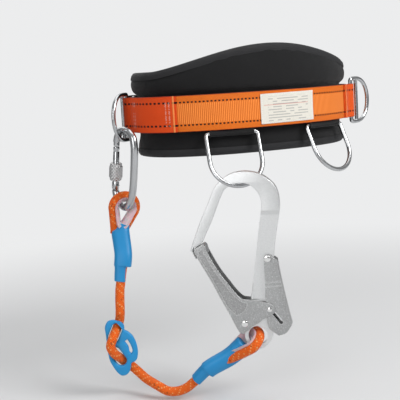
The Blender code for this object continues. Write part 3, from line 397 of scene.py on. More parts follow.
def coil_points(radius, pitch, turns, start, per=10):
    return [(radius * math.cos(2 * math.pi * k / per), start + pitch * k / per, radius * math.sin(2 * math.pi * k / per)) for k in range(int(turns * per) + 1)]



SLEEVE_LOW, SLEEVE_LEN = 0.0080, 0.0235


VIEW_R = Vector((0.9063, -0.4226, 0.0))
OUT = Vector((-0.4226, -0.9063, 0.0))
PA = Vector((-0.2022, -0.0216, -0.2961))
ADJ = Matrix((VIEW_R, Z, OUT)).transposed().to_4x4()
ADJ.translation = PA
EYE_R = 0.0154
EYE_U = CARA @ Vector((0.0020, -0.1012, 0.0)) + Vector((0, 0, -0.0002))
EYE_U_N = Vector((-0.060, -0.990, -0.130)).normalized()
HOOK = plane_frame(Vector((-0.0672, -0.1160, -0.0945)), LEVER_AZ)
EYE_L_E1 = (HOOK.to_3x3() @ Vector((0.80, 0.60, 0.0))).normalized()
_th = math.radians(26)
EYE_L_E2 = (HOOK.to_3x3() @ Vector((0.6 * math.sin(_th), -0.8 * math.sin(_th), math.cos(_th)))).normalized()
EYE_L = HOOK @ Vector((0.0129 - 0.0138 * 0.8, -0.1851 - 0.0138 * 0.6, 0.0))


def eye_frame(centre, down, normal):
    """Local Y from the rope towards the eye's crown, local Z along the eye's axis."""
    y = -(down - normal * down.dot(normal)).normalized()
    m = Matrix((y.cross(normal), y, normal)).transposed().to_4x4()
    m.translation = centre
    return m


EYE_UP_M = eye_frame(EYE_U, Vector((-0.0080, -0.0060, -0.0300)), EYE_U_N)
EYE_LOW_M = eye_frame(EYE_L, -EYE_L_E1, EYE_L_E1.cross(EYE_L_E2).normalized())


def rope_line(step):
    """Centre line of the standing rope, from the upper eye through the adjuster to the lower eye."""
    world = [EYE_UP_M @ Vector((0, -EYE_R, 0)), EYE_UP_M @ Vector((0, -0.030, 0)), Vector((-0.1868, -0.0078, -0.1779)), Vector((-0.1930, -0.0108, -0.2082)),
             Vector((-0.1967, -0.0126, -0.2260)), Vector((-0.1990, -0.0158, -0.2476))]
    weave = [(-1.0, 36.5, -9.2), (-3.0, 30.4, -8.4), (-5.0, 25.6, -5.0), (-7.2, 21.0, 0.0), (-9.2, 17.0, 5.0), (-11.6, 11.8, 8.8), (-13.4, 5.0, 9.6), (-12.4, -0.6, 8.8),
             (-9.0, -6.0, 5.0), (-5.6, -10.6, 0.0), (-2.2, -15.6, -5.0), (1.6, -20.6, -9.4), (7.6, -26.0, -9.9), (15.6, -31.6, -8.8), (25.6, -42.4, -6.8)]
    world += [ADJ @ Vector((a / 1000, b / 1000, c / 1000)) for a, b, c in weave]
    world += [Vector((-0.1650, -0.0500, -0.3470)), Vector((-0.1536, -0.0586, -0.3533)), Vector((-0.1399, -0.0683, -0.3505)), Vector((-0.1287, -0.0765, -0.3410)),
              Vector((-0.1106, -0.0893, -0.3225)), EYE_LOW_M @ Vector((0, -0.036, 0)), EYE_LOW_M @ Vector((0, -EYE_R, 0))]
    return smooth(world, step)


def ring_points(radius, count):
    return [Vector((radius * math.cos(2 * math.pi * k / count), radius * math.sin(2 * math.pi * k / count), 0)) for k in range(count)]



def thimble_profile():
    """A grooved ring that lines the eye, waisted in the middle."""
    pts = [(0.0086, 0.0), (0.0089, 0.0034), (0.0100, 0.0060), (0.0122, 0.0064)]
    for k in range(5):
        a = math.radians(60 - 30 * k)
        pts.append((EYE_R - (ROPE_R + 0.0004) * math.cos(a), (ROPE_R + 0.0004) * math.sin(a)))
    return pts + [(0.0122, -0.0064), (0.0100, -0.0060), (0.0089, -0.0034), (0.0086, 0.0)]



def sleeve_rings(line, sizes, side, count=12):
    """Oval sections along a line: sizes are (distance along, half width, half depth)."""
    walk = [0.0]
    for a, b in zip(line, line[1:]):
        walk.append(walk[-1] + (b - a).length)
    rings = []
    for d, w, t in sizes:
        k = max(i for i in range(len(walk) - 1) if walk[i] <= d)
        f = (d - walk[k]) / (walk[k + 1] - walk[k])
        centre = line[k].lerp(line[k + 1], f)
        tan = (line[min(k + 2, len(line) - 1)] - line[max(k - 1, 0)]).normalized()
        x = (side - tan * side.dot(tan)).normalized()
        y = tan.cross(x)
        rings.append([centre + x * w * math.cos(2 * math.pi * j / count) + y * t * math.sin(2 * math.pi * j / count) for j in range(count)])
    return rings



UP_SIZES = [(0.0072, 0.0112, 0.0082), (0.0110, 0.0120, 0.0088), (0.0350, 0.0120, 0.0088), (0.0610, 0.0114, 0.0086), (0.0660, 0.0105, 0.0082), (0.0700, 0.0078, 0.0075),
            (0.0860, 0.0074, 0.0074)]

LOW_SIZES = [(0.0072, 0.0104, 0.0084), (0.0110, 0.0112, 0.0090), (0.0350, 0.0112, 0.0090), (0.0520, 0.0106, 0.0086), (0.0560, 0.0078, 0.0075), (0.0720, 0.0074, 0.0074)]

ADJ_EDGE = mm([(-10.5, 37.9), (-15.2, 36.8), (-18.3, 33.4), (-20.1, 28.2), (-19.9, 22.3), (-19.4, 17.0), (-18.9, 7.4), (-18.4, -2.1), (-17.4, -11.8), (-15.6, -18.2), (-12.5, -24.5), (-8.3, -31.3),
               (-4.6, -35.1), (-1.2, -36.5), (3.5, -35.6), (7.2, -32.3), (9.6, -27.0), (10.8, -21.1), (12.7, -19.4), (15.6, -18.4), (18.8, -14.4), (20.2, -6.8), (19.8, 1.6), (18.0, 8.8),
               (15.0, 15.5), (11.3, 19.9), (7.4, 22.8), (4.9, 24.2), (3.6, 27.0), (1.6, 30.4), (-1.6, 34.4), (-5.6, 37.2)])


def stadium(centre, direction, half_len, half_wid, count=8):
    d = Vector(direction).normalized()
    n = Vector((-d.y, d.x))
    c = Vector(centre)
    out = []
    for sign in (1, -1):
        for k in range(count + 1):
            a = math.pi * (k / count - 0.5)
            out.append(tuple(c + d * sign * (half_len - half_wid) + (d * math.cos(a) + n * math.sin(a)) * half_wid * sign))
    return out


ADJ_HOLES = [stadium((-0.0072, 0.0210), (-0.43, -0.90), 0.0132, 0.0068), stadium((-0.0053, -0.0104), (0.56, -0.83), 0.0134, 0.0068),
             mm([(4.2, 9.0), (8.4, 2.3), (9.4, -4.3), (11.6, -7.4), (13.4, -3.4), (11.4, 4.0), (7.6, 11.4)])]

RIVET_GATE = (-0.0023, -0.1685)
PIN_LOCK = (0.0296, -0.1510)
RIVET_LEVER = (0.0296, -0.0867)
BODY_EDGE = mm([(-65.6, -72.6), (-52.9, -40.6), (-41.9, -17.8), (-33.2, 1.0), (-28.1, 7.5), (-20.0, 14.8), (-10.3, 19.6), (-0.7, 21.6), (8.8, 21.6), (18.1, 19.9), (27.3, 16.3),
                (36.4, 9.3), (42.6, 2.0), (45.9, -7.5), (47.1, -18.9), (46.4, -28.4), (43.2, -45.4), (40.1, -62.5), (37.4, -80.6), (37.0, -86.0), (36.6, -100.0), (35.4, -118.0),
                (31.0, -138.0), (27.0, -146.4), (26.3, -150.5), (27.2, -155.0), (29.4, -160.0), (30.9, -168.0), (31.3, -177.0), (31.4, -184.3), (28.6, -192.5), (20.7, -200.4),
                (13.5, -202.4), (6.2, -201.0), (-0.2, -195.6), (-3.3, -188.6), (-4.0, -181.8), (-7.4, -176.6), (-9.4, -171.5), (-9.3, -165.4), (-5.0, -159.5), (2.6, -151.0),
                (6.2, -138.4), (11.1, -109.5), (16.3, -74.3), (19.7, -52.0), (23.7, -29.5), (25.1, -20.1), (24.5, -13.4), (21.6, -5.7), (16.2, 1.1), (10.8, 5.1), (4.2, 7.0),
                (-3.3, 7.3), (-11.0, 5.4), (-17.9, 1.4), (-21.9, -2.3), (-25.1, -7.9), (-29.4, -17.3), (-36.1, -33.4), (-42.7, -47.7), (-50.8, -63.6), (-51.6, -65.6),
                (-57.2, -69.2), (-62.8, -72.2), (-63.4, -76.2), (-59.0, -85.6), (-60.3, -86.4), (-65.2, -76.4)])
EYE_HOLE = (0.0129, -0.1851)

EYE_TAB = mm([(-14.0, -176.0), (40.0, -176.0), (40.0, -210.0), (-14.0, -210.0)])

HANG_A = D_LEFT_M @ Vector((0.0235, -D_HALF, 0.0))
HANG_B = RING_L_M @ Vector((0.0, -0.0708, 0.0))

GATE_EDGE = mm([(-61.3, -72.9), (-50.3, -66.9), (-47.4, -69.2), (-44.4, -77.9), (-32.5, -100.5), (-20.4, -118.0), (-12.9, -128.4), (-7.1, -134.6), (-3.3, -137.2), (5.7, -138.4), (22.6, -141.2),
                (30.4, -143.9), (35.2, -147.0), (37.0, -151.6), (34.8, -155.6), (28.7, -159.1), (21.5, -162.6), (15.3, -167.7), (8.1, -171.7), (0.7, -177.8), (-5.5, -181.8), (-9.5, -179.7),
                (-15.0, -169.4), (-18.6, -161.1), (-25.9, -146.6), (-33.2, -132.1), (-41.4, -114.6), (-51.5, -96.0), (-57.3, -84.9), (-61.6, -76.6)])
GATE_WEB = mm([(-56.6, -80.6), (-49.7, -95.2), (-39.7, -113.8), (-31.5, -131.3), (-24.2, -145.8), (-16.9, -160.4), (-13.3, -168.8), (-10.9, -175.4), (-6.0, -195.0), (60.0, -195.0), (60.0, -60.0),
               (-33.0, -60.0), (-42.0, -77.2)])
GATE_IN, GATE_OUT = 0.0084, 0.0098


def shifted(points, origin):
    return [(p[0] - origin[0], p[1] - origin[1]) for p in points]



HG = HOOK @ Matrix.Translation((*RIVET_GATE, 0))

LEVER_EDGE = mm([(25.2, -86.6), (25.0, -99.7), (25.4, -118.9), (24.8, -136.1), (24.8, -157.5), (26.1, -170.9), (28.8, -177.0), (35.6, -182.2), (39.5, -184.8), (48.6, -181.3), (55.9, -171.7),
                 (51.0, -148.7), (44.7, -114.2), (40.9, -89.0), (38.0, -86.9), (34.1, -83.6), (29.8, -81.4), (26.3, -83.2)])
LEVER_WEB = mm([(0.0, -70.0), (48.0, -70.0), (48.0, -90.0), (39.4, -92.5), (42.7, -114.5), (49.0, -149.0), (53.2, -169.0), (46.5, -177.9), (44.0, -200.0), (0.0, -200.0)])
LEVER_IN, LEVER_OUT = 0.0064, 0.0080
HL = HOOK @ Matrix.Translation((*RIVET_LEVER, 0))


def pin_track(count=8, margin=0.6):
    """The lock pin's path as the lever sees it, while gate and lever turn together."""
    out = []
    for k in range(-1, count + 2):
        f = min(1.0 + margin / 20.0, max(-margin / 20.0, k / count))
        g, l = math.radians(-GATE_OPEN * f), math.radians(-LEVER_OPEN * f)
        p = Matrix.Rotation(g, 2) @ Vector((PIN_LOCK[0] - RIVET_GATE[0], PIN_LOCK[1] - RIVET_GATE[1])) + Vector(RIVET_GATE)
        out.append(Matrix.Rotation(-l, 2) @ (p - Vector(RIVET_LEVER)))
    return out


def track_outline(track, half):
    left, right = [], []
    for i, p in enumerate(track):
        d = (track[min(i + 1, len(track) - 1)] - track[max(i - 1, 0)]).normalized()
        n = Vector((-d.y, d.x))
        left.append(tuple(p + n * half))
        right.append(tuple(p - n * half))
    d0 = (track[0] - track[1]).normalized()
    d1 = (track[-1] - track[-2]).normalized()
    cap0 = [tuple(track[0] + (d0 * math.cos(a) + Vector((-d0.y, d0.x)) * math.sin(a)) * half) for a in (-0.8, 0.0, 0.8)]
    cap1 = [tuple(track[-1] + (d1 * math.cos(a) + Vector((-d1.y, d1.x)) * math.sin(a)) * half) for a in (-0.8, 0.0, 0.8)]
    return left + cap1[::-1] + right[::-1] + cap0[::-1]



SLOT = track_outline(pin_track(24), 0.0024)

S_TAIL0, S_TAIL1 = S_BUCKLE + 0.052, S_BUCKLE + 0.165


# ---------------------------------------------------------------- shader expressions
class X:
    """A value socket that can be written as arithmetic."""

    def __init__(self, nt, s):
        self.nt, self.s = nt, s

    def op(self, kind, b=None, c=None, clamp=False):
        n = self.nt.nodes.new("ShaderNodeMath")
        n.operation = kind
        n.use_clamp = clamp
        for i, v in enumerate((self, b, c)):
            if v is None:
                continue
            if isinstance(v, X):
                self.nt.links.new(v.s, n.inputs[i])
            else:
                n.inputs[i].default_value = v
        return X(self.nt, n.outputs[0])

    def __add__(self, o): return self.op("ADD", o)
    def __radd__(self, o): return self.op("ADD", o)
    def __sub__(self, o): return self.op("SUBTRACT", o)
    def __rsub__(self, o): return (self * -1.0).op("ADD", o)
    def __mul__(self, o): return self.op("MULTIPLY", o)
    def __rmul__(self, o): return self.op("MULTIPLY", o)
    def __truediv__(self, o): return self.op("DIVIDE", o)
    def abs(self): return self.op("ABSOLUTE")
    def sin(self): return self.op("SINE")
    def frac(self): return self.op("FRACT")
    def floor(self): return self.op("FLOOR")
    def lt(self, o): return self.op("LESS_THAN", o)
    def gt(self, o): return self.op("GREATER_THAN", o)
    def max(self, o): return self.op("MAXIMUM", o)
    def min(self, o): return self.op("MINIMUM", o)
    def pow(self, o): return self.op("POWER", o)
    def clamp(self): return self.op("ADD", 0.0, clamp=True)

    def smooth(self, a, b):
        n = self.nt.nodes.new("ShaderNodeMapRange")
        n.interpolation_type = "SMOOTHSTEP"
        self.nt.links.new(self.s, n.inputs["Value"])
        n.inputs["From Min"].default_value = a
        n.inputs["From Max"].default_value = b
        return X(self.nt, n.outputs["Result"])


class Mat:
    def __init__(self, name, colour, rough, metal=0.0, **kw):
        self.m = bpy.data.materials.new(name)
        self.m.use_nodes = True
        self.nt = self.m.node_tree
        self.b = self.nt.nodes["Principled BSDF"]
        self.b.inputs["Base Color"].default_value = (*colour, 1)
        self.b.inputs["Roughness"].default_value = rough
        self.b.inputs["Metallic"].default_value = metal
        for k, v in kw.items():
            self.b.inputs[k.replace("_", " ")].default_value = v
        self.heights = []

    def uv(self):
        n = self.nt.nodes.new("ShaderNodeUVMap")
        n.uv_map = "uv"
        s = self.nt.nodes.new("ShaderNodeSeparateXYZ")
        self.nt.links.new(n.outputs[0], s.inputs[0])
        return X(self.nt, s.outputs[0]), X(self.nt, s.outputs[1])

    def obj(self):
        n = self.nt.nodes.new("ShaderNodeTexCoord")
        s = self.nt.nodes.new("ShaderNodeSeparateXYZ")
        self.nt.links.new(n.outputs["Object"], s.inputs[0])
        return tuple(X(self.nt, s.outputs[i]) for i in range(3))

    def noise(self, scale, detail=3.0, rough=0.5, stretch=None, distort=0.0):
        c = self.nt.nodes.new("ShaderNodeTexCoord")
        n = self.nt.nodes.new("ShaderNodeTexNoise")
        n.inputs["Scale"].default_value = scale
        n.inputs["Detail"].default_value = detail
        n.inputs["Roughness"].default_value = rough
        n.inputs["Distortion"].default_value = distort
        if stretch:
            mp = self.nt.nodes.new("ShaderNodeMapping")
            mp.inputs["Scale"].default_value = stretch
            self.nt.links.new(c.outputs["Object"], mp.inputs[0])
            self.nt.links.new(mp.outputs[0], n.inputs["Vector"])
        else:
            self.nt.links.new(c.outputs["Object"], n.inputs["Vector"])
        return X(self.nt, n.outputs["Fac"])

    def cell(self, a, b):
        """A random value for each whole pair (a, b)."""
        v = self.nt.nodes.new("ShaderNodeCombineXYZ")
        self.nt.links.new(a.s, v.inputs[0])
        self.nt.links.new(b.s, v.inputs[1])
        n = self.nt.nodes.new("ShaderNodeTexWhiteNoise")
        n.noise_dimensions = "2D"
        self.nt.links.new(v.outputs[0], n.inputs["Vector"])
        return X(self.nt, n.outputs["Value"])

    def col(self, value):
        n = self.nt.nodes.new("ShaderNodeRGB")
        n.outputs[0].default_value = (*value, 1)
        return n.outputs[0]

    def mix(self, fac, a, b):
        n = self.nt.nodes.new("ShaderNodeMix")
        n.data_type = "RGBA"
        for sock, v in ((n.inputs[0], fac), (n.inputs[6], a), (n.inputs[7], b)):
            if isinstance(v, X):
                self.nt.links.new(v.s, sock)
            elif isinstance(v, tuple):
                sock.default_value = (*v, 1)
            elif isinstance(v, float):
                sock.default_value = v
            else:
                self.nt.links.new(v, sock)
        return n.outputs[2]

    def edges(self, radius, gain):
        """1 along convex and concave edges, 0 on flat faces."""
        soft = self.nt.nodes.new("ShaderNodeBevel")
        soft.samples = 6
        soft.inputs["Radius"].default_value = radius
        flat = self.nt.nodes.new("ShaderNodeNewGeometry")
        dot = self.nt.nodes.new("ShaderNodeVectorMath")
        dot.operation = "DOT_PRODUCT"
        self.nt.links.new(soft.outputs[0], dot.inputs[0])
        self.nt.links.new(flat.outputs["Normal"], dot.inputs[1])
        return ((1.0 - X(self.nt, dot.outputs["Value"])) * gain).clamp()

    def colour(self, sock):
        self.nt.links.new(sock, self.b.inputs["Base Color"])

    def rough(self, x):
        self.nt.links.new(x.s, self.b.inputs["Roughness"])

    def bump(self, height, dist, strength=1.0):
        n = self.nt.nodes.new("ShaderNodeBump")
        n.inputs["Strength"].default_value = strength
        n.inputs["Distance"].default_value = dist
        self.nt.links.new(height.s, n.inputs["Height"])
        if self.heights:
            self.nt.links.new(self.heights[-1], n.inputs["Normal"])
        self.heights.append(n.outputs[0])
        self.nt.links.new(n.outputs[0], self.b.inputs["Normal"])


TAU = 2 * math.pi
MATS = {}


def webbing_mat(name, base, dark, stitched=True, zigzag=(), ribs=True, pitch=0.0049, tall=0.0010, ridge=None):
    """Woven webbing: u runs along the strap and v across it, in metres."""
    M = Mat(name, base, 0.62, Sheen_Weight=0.05, Sheen_Roughness=0.4, Specular_IOR_Level=0.2)
    u, v = M.uv()
    nz = M.noise(60.0, 4.0)
    fine = M.noise(900.0, 2.0)
    base_c = M.mix((nz * 0.9 + fine * 0.35 - 0.2).clamp(), tuple(0.88 * c for c in base), tuple(min(1.0, 1.15 * c) for c in base))
    centre = 1.0 - v.abs().smooth(0.0120, 0.0130)
    rib = ((u * (TAU / 0.0024)).sin() * 0.5 + 0.5)
    tw1 = ((u + v * 1.4) * (TAU / 0.0015)).sin() * 0.5 + 0.5
    tw2 = ((u - v * 1.4) * (TAU / 0.0015)).sin() * 0.5 + 0.5
    edge = tw1 * (v.gt(0.0)) + tw2 * (v.lt(0.0))
    weft = (v * (TAU / 0.0011)).sin() * 0.5 + 0.5
    height = centre * (rib * 0.75 + weft * rib * 0.25) + (1.0 - centre) * edge * 0.7 if ribs else edge * 0.6 + weft * 0.3
    # Painted shade: the low parts of the weave are darkened to 0.58 of the base colour.
    shade = M.mix((height * 0.9 + 0.05).clamp(), tuple(0.58 * c for c in base), base_c)
    # Painted highlight: a paler orange is laid on the crests of the centre ribs.
    shade = M.mix(centre * rib.pow(2.0) * (0.42 if ribs else 0.0), shade, (1.0, 0.46, 0.14))
    rim = v.abs().smooth(0.0212, 0.0224)
    shade = M.mix(rim * 0.75, shade, dark)
    total = height
    if stitched:
        line = (v.abs() - 0.0142).abs().lt(tall)
        dash = (u / pitch).frac().lt(0.52)
        wob = (fine * 0.4 + 0.8)
        mask = line * dash
        groove = 1.0 - (v.abs() - 0.0142).abs().smooth(0.0004, 0.0013)
        shade = M.mix((mask * wob * 1.3).clamp(), shade, (0.014, 0.004, 0.003))
        total = total - groove * 0.9 + mask * 0.9
    for z in zigzag:
        zig = ((v / 0.0030).frac() - 0.5).abs() * 0.0026
        near = (u - z - zig).abs().lt(0.00060)
        near = near * (1.0 - v.abs().gt(0.0165)) * (M.cell((v / 0.0015).floor(), (u * 0.0 + z * 100.0).floor())).gt(0.42)
        shade = M.mix(near * 0.55, shade, (0.80, 0.58, 0.52))
        total = total + near * 0.8
    if ridge is not None:
        top = 1.0 - (u - ridge).abs().smooth(0.0004, 0.0017)
        # Painted highlight: a brighter orange along the crest of the fold round the bar.
        shade = M.mix(top * 0.75, shade, (1.0, 0.36, 0.10))
        total = total + top * 2.0
    M.colour(shade)
    M.bump(total, 0.00022, 0.9)
    M.rough((nz * 0.2 + 0.52).clamp())
    return M.m


def fabric_mat(name, base, scale=0.0011, sheen=0.22, rough=0.85, bump=0.00012, solid=False):
    """Close-woven dark cloth."""
    M = Mat(name, base, rough, Sheen_Weight=sheen, Sheen_Roughness=0.5, Specular_IOR_Level=0.25)
    if solid:
        ox, oy, oz = M.obj()
        u, v = ox + oy * 0.7, oz
    else:
        u, v = M.uv()
    a = ((u + v) * (TAU / scale)).sin() * ((u - v) * (TAU / scale)).sin()
    big = M.noise(14.0, 4.0, 0.6)
    lint = M.noise(420.0, 3.0, 0.7)
    c = M.mix((big * 0.8 + lint * 0.5 - 0.25).clamp(), tuple(0.65 * k for k in base), tuple(1.9 * k for k in base))
    M.colour(c)
    M.bump(a * 0.5 + lint * 0.8, bump, 0.8)
    M.bump(big, 0.0006, 0.35)
    return M.m


def metal_mat(name, base, rough, grain=1.0, cast=0.0, dirt=0.25, metal=1.0, edge_highlight=0.0):
    M = Mat(name, base, rough, metal)
    n1 = M.noise(35.0, 5.0, 0.6)
    n2 = M.noise(300.0, 4.0, 0.7, stretch=(1.0, 1.0, 0.12))
    spots = M.noise(1400.0, 2.0, 0.5)
    M.rough((n1 * 0.16 * grain + n2 * 0.12 * grain + (rough - 0.12 * grain)).clamp())
    c = M.mix(((n1 - 0.35) * dirt * 2.0).clamp(), base, tuple(0.72 * k for k in base))
    if cast:
        c = M.mix((spots * 1.6 - 0.55).clamp() * 0.35, c, tuple(0.45 * k for k in base))
        grit = M.noise(620.0, 3.0, 0.65)
        c = M.mix(((grit - 0.52) * 6.0).clamp() * min(0.6, 0.22 * cast), c, tuple(min(0.95, 1.75 * k) for k in base))
        c = M.mix(((0.44 - grit) * 6.0).clamp() * min(0.5, 0.18 * cast), c, tuple(0.42 * k for k in base))
        M.bump(spots * 0.6 + n1 * 0.5, 0.00012 * cast, 0.7)
    else:
        M.bump(n2, 0.00002, 0.35)
    if edge_highlight:
        # Painted highlight: lightens the edges found by the bevel normal.
        c = M.mix(M.edges(0.0011, 5.0) * edge_highlight, c, tuple(min(0.95, 1.9 * k) for k in base))
    M.colour(c)
    return M.m


def rope_mat(name):
    """Braided sheath: u once round the rope, v along it in metres."""
    M = Mat(name, (0.85, 0.17, 0.02), 0.6, Sheen_Weight=0.05, Specular_IOR_Level=0.2)
    u, v = M.uv()
    strands, step = 28.0, 0.0011
    a = u * strands + v / step
    b = u * strands - v / step
    ca, cb = (a * 0.5).floor(), (b * 0.5).floor()
    ha = ((a * math.pi * 0.5).sin()).abs()
    hb = ((b * math.pi * 0.5).sin()).abs()
    height = (ha * hb).pow(0.5)
    rnd = M.cell(ca, cb)
    fine = M.noise(1100.0, 3.0)
    # Painted shade: the low parts between the braid's strands are darkened.
    base = M.mix((height * 0.85 + fine * 0.3).clamp(), (0.46, 0.042, 0.004), (1.0, 0.175, 0.012))
    tracer = ((ca + 0.5) / 4.0).frac().lt(0.25) * ((cb + 0.5) / 2.0).frac().lt(0.5) * rnd.gt(0.25)
    base = M.mix(tracer * 0.5, base, (0.86, 0.60, 0.24))
    base = M.mix(rnd.lt(0.03) * 0.5, base, (0.10, 0.03, 0.02))
    M.colour(base)
    M.bump(height, 0.0005, 0.9)
    M.bump(fine, 0.00012, 0.5)
    return M.m


def rubber_mat(name, base, rough=0.42):
    M = Mat(name, base, rough, Specular_IOR_Level=0.45, Coat_Weight=0.08, Coat_Roughness=0.4)
    n1, n2 = M.noise(25.0, 4.0), M.noise(500.0, 2.0)
    M.colour(M.mix((n1 * 1.2 - 0.2).clamp(), tuple(0.86 * k for k in base), base))
    M.rough((n1 * 0.15 + n2 * 0.08 + rough - 0.08).clamp())
    M.bump(n1, 0.0005, 0.3)
    M.bump(n2, 0.00005, 0.5)
    return M.m


def thimble_mat(name):
    M = Mat(name, (0.88, 0.66, 0.70), 0.28, Transmission_Weight=0.25, IOR=1.46, Subsurface_Weight=0.3, Subsurface_Scale=0.01)
    n1 = M.noise(90.0, 4.0)
    M.colour(M.mix((n1 * 1.4 - 0.3).clamp(), (0.80, 0.46, 0.52), (0.94, 0.82, 0.83)))
    M.rough((n1 * 0.25 + 0.18).clamp())
    M.bump(n1, 0.0002, 0.3)
    return M.m


def label_mat(name):
    """Off-white printed cloth: plain rules and blocks only."""
    M = Mat(name, (0.78, 0.75, 0.68), 0.6, Specular_IOR_Level=0.3)
    u, v = M.uv()
    fine = M.noise(700.0, 2.0)
    c = M.mix((fine * 0.8).clamp(), (0.64, 0.615, 0.545), (0.82, 0.79, 0.715))
    row = (v / 0.0034)
    line = (row.frac() - 0.5).abs().lt(0.16)
    seg = M.cell(row.floor(), (u / 0.0062).floor()).gt(0.30)
    inside = (u - 0.017).abs().lt(0.0300) * (v + 0.0005).abs().lt(0.0155)
    c = M.mix(line * seg * inside * 0.6, c, (0.20, 0.20, 0.21))
    red = ((v - 0.0045).abs().lt(0.00055) * (u - 0.014).abs().lt(0.033)) 
    c = M.mix(red * 0.45, c, (0.60, 0.12, 0.08))
    stitch = ((u - 0.016).abs() - 0.0375).abs().lt(0.0004) + (v.abs() - 0.0178).abs().lt(0.0004)
    dash = ((u + v) / 0.0028).frac().lt(0.6)
    c = M.mix((stitch * dash).clamp() * 0.5, c, (0.95, 0.94, 0.9))
    M.colour(c)
    M.bump((stitch * dash).clamp() + fine * 0.3, 0.00025, 0.8)
    return M.m


def knurl_mat(name, base):
    """Diamond knurling, on a band given by v in metres along the sleeve."""
    M = Mat(name, base, 0.3, 1.0)
    u, v = M.uv()
    a = ((u * 12.0 + v / 0.0044) * TAU).sin() * 0.5 + 0.5
    b = ((u * 12.0 - v / 0.0044) * TAU).sin() * 0.5 + 0.5
    h = (a * b).pow(0.6)
    n1 = M.noise(60.0, 4.0)
    # Painted shade: the knurl's grooves are darkened to 0.42 of the base colour.
    M.colour(M.mix(h, tuple(0.42 * k for k in base), base))
    M.bump(h, 0.0005, 0.9)
    M.rough((n1 * 0.25 + 0.25).clamp())
    return M.m


ORANGE_C = (1.0, 0.205, 0.014)
DARK_C = (0.30, 0.018, 0.006)
MATS["webbing"] = webbing_mat("m_webbing", ORANGE_C, DARK_C)
# A deeper, darker copy of the belt's orange for its folds round the buckle bars: painted shade.
MATS["webbing_plain"] = webbing_mat("m_webbing_plain", (0.93, 0.078, 0.010), DARK_C, True, (), False)
MATS["pad"] = fabric_mat("m_pad", (0.0050, 0.0050, 0.0055), sheen=0.12, solid=True)
MATS["lining"] = fabric_mat("m_lining", (0.020, 0.020, 0.022), scale=0.0030, bump=0.0005)
MATS["binding"] = webbing_mat("m_binding", (0.030, 0.030, 0.032), (0.01, 0.01, 0.01), False, (), False)
MATS["backing"] = webbing_mat("m_backing", (0.016, 0.016, 0.018), (0.01, 0.01, 0.01), False, (), False)
MATS["steel"] = metal_mat("m_steel", (0.55, 0.56, 0.57), 0.20, 0.8)
MATS["body"] = metal_mat("m_forged", (0.79, 0.80, 0.80), 0.34, 0.8, cast=0.6, dirt=0.22, metal=0.74)
# The channel metal takes a painted highlight along its edges.
MATS["cast"] = metal_mat("m_channel", (0.46, 0.465, 0.465), 0.40, 1.0, cast=2.2, dirt=0.45, metal=0.85, edge_highlight=0.85)
# A darker copy of the channel metal for the recess floor: painted shade in the recess.
MATS["cast_deep"] = metal_mat("m_channel_recess", (0.41, 0.412, 0.412), 0.50, 1.0, cast=2.8, dirt=0.5, metal=0.8)
# A darker copy of the forged metal for the ramp below the shoulder: painted shade.
MATS["step"] = metal_mat("m_step", (0.72, 0.73, 0.73), 0.42, 0.8, cast=0.6, dirt=0.2, metal=0.7)
MATS["bright"] = metal_mat("m_rivet", (0.86, 0.86, 0.85), 0.16, 0.5)
MATS["spring"] = metal_mat("m_spring", (0.40, 0.40, 0.41), 0.32, 1.0)
MATS["rope"] = rope_mat("m_rope")
MATS["blue"] = rubber_mat("m_blue", (0.009, 0.265, 0.59))
MATS["blue_hard"] = rubber_mat("m_blue_hard", (0.011, 0.29, 0.64), 0.36)
MATS["thimble"] = thimble_mat("m_thimble")
MATS["label"] = label_mat("m_label")
MATS["knurl"] = knurl_mat("m_knurl", (0.92, 0.92, 0.92))

# ---------------------------------------------------------------- making pieces
REC = frame["record"]
BODY_OF = {n: b for b, ns in REC["behaviour"]["bodies"].items() for n in ns}


def piece(name, mesh, mat, nodes, where=None, sharp=35.0, body=None, inlay=None):
    """Makes an object of a finished mesh, rides it on the body of the named CAD nodes and hides those nodes."""
    chosen = [f.index for f in mesh.polygons if inlay[1](f)] if inlay else []
    if where is not None:
        mesh.transform(where)
    mesh.transform(Matrix.Translation(SHIFT))
    mesh.materials.clear()
    mesh.materials.append(MATS[mat] if isinstance(mat, str) else mat)
    for f in mesh.polygons:
        f.material_index = 0
    if inlay:
        mesh.materials.append(MATS[inlay[0]])
        for i in chosen:
            mesh.polygons[i].material_index = 1
    mesh.shade_smooth()
    if sharp:
        mesh.set_sharp_from_angle(angle=math.radians(sharp))
    obj = bpy.data.objects.new(name, mesh)
    SCENE.collection.objects.link(obj)
    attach(obj, body or BODY_OF[nodes[0]])
    if nodes:
        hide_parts(*nodes)
    return obj


def tidy(mesh):
    """Merges away the zero-area slivers a Boolean can leave."""
    for reach in (2e-6, 5e-6, 1e-5, 2e-5):
        mesh.calc_loop_triangles()
        if all(t.area > 1e-12 for t in mesh.loop_triangles):
            break
        bm = bmesh.new()
        bm.from_mesh(mesh)
        bmesh.ops.remove_doubles(bm, verts=bm.verts[:], dist=reach)
        bmesh.ops.dissolve_degenerate(bm, dist=reach, edges=bm.edges[:])
        bmesh.ops.triangulate(bm, faces=bm.faces[:], quad_method="BEAUTY", ngon_method="BEAUTY")
        bmesh.ops.dissolve_degenerate(bm, dist=reach, edges=bm.edges[:])
        bm.to_mesh(mesh)
        bm.free()
    return mesh


def sculpt(name, mesh, cuts=(), unions=()):
    """Applies Booleans to a mesh in its own frame and gives the result back."""
    obj = bpy.data.objects.new(name, mesh)
    SCENE.collection.objects.link(obj)
    tools = []
    for kind, items in (("DIFFERENCE", cuts), ("UNION", unions)):
        for item in items:
            tool = bpy.data.objects.new(name + "_tool", item)
            SCENE.collection.objects.link(tool)
            mod = obj.modifiers.new("b", "BOOLEAN")
            mod.operation, mod.solver, mod.object = kind, "EXACT", tool
            tools.append(tool)
    bpy.context.view_layer.update()
    out = bpy.data.meshes.new_from_object(obj.evaluated_get(bpy.context.evaluated_depsgraph_get()))
    for o in tools + [obj]:
        bpy.data.objects.remove(o, do_unlink=True)
    return tidy(out)


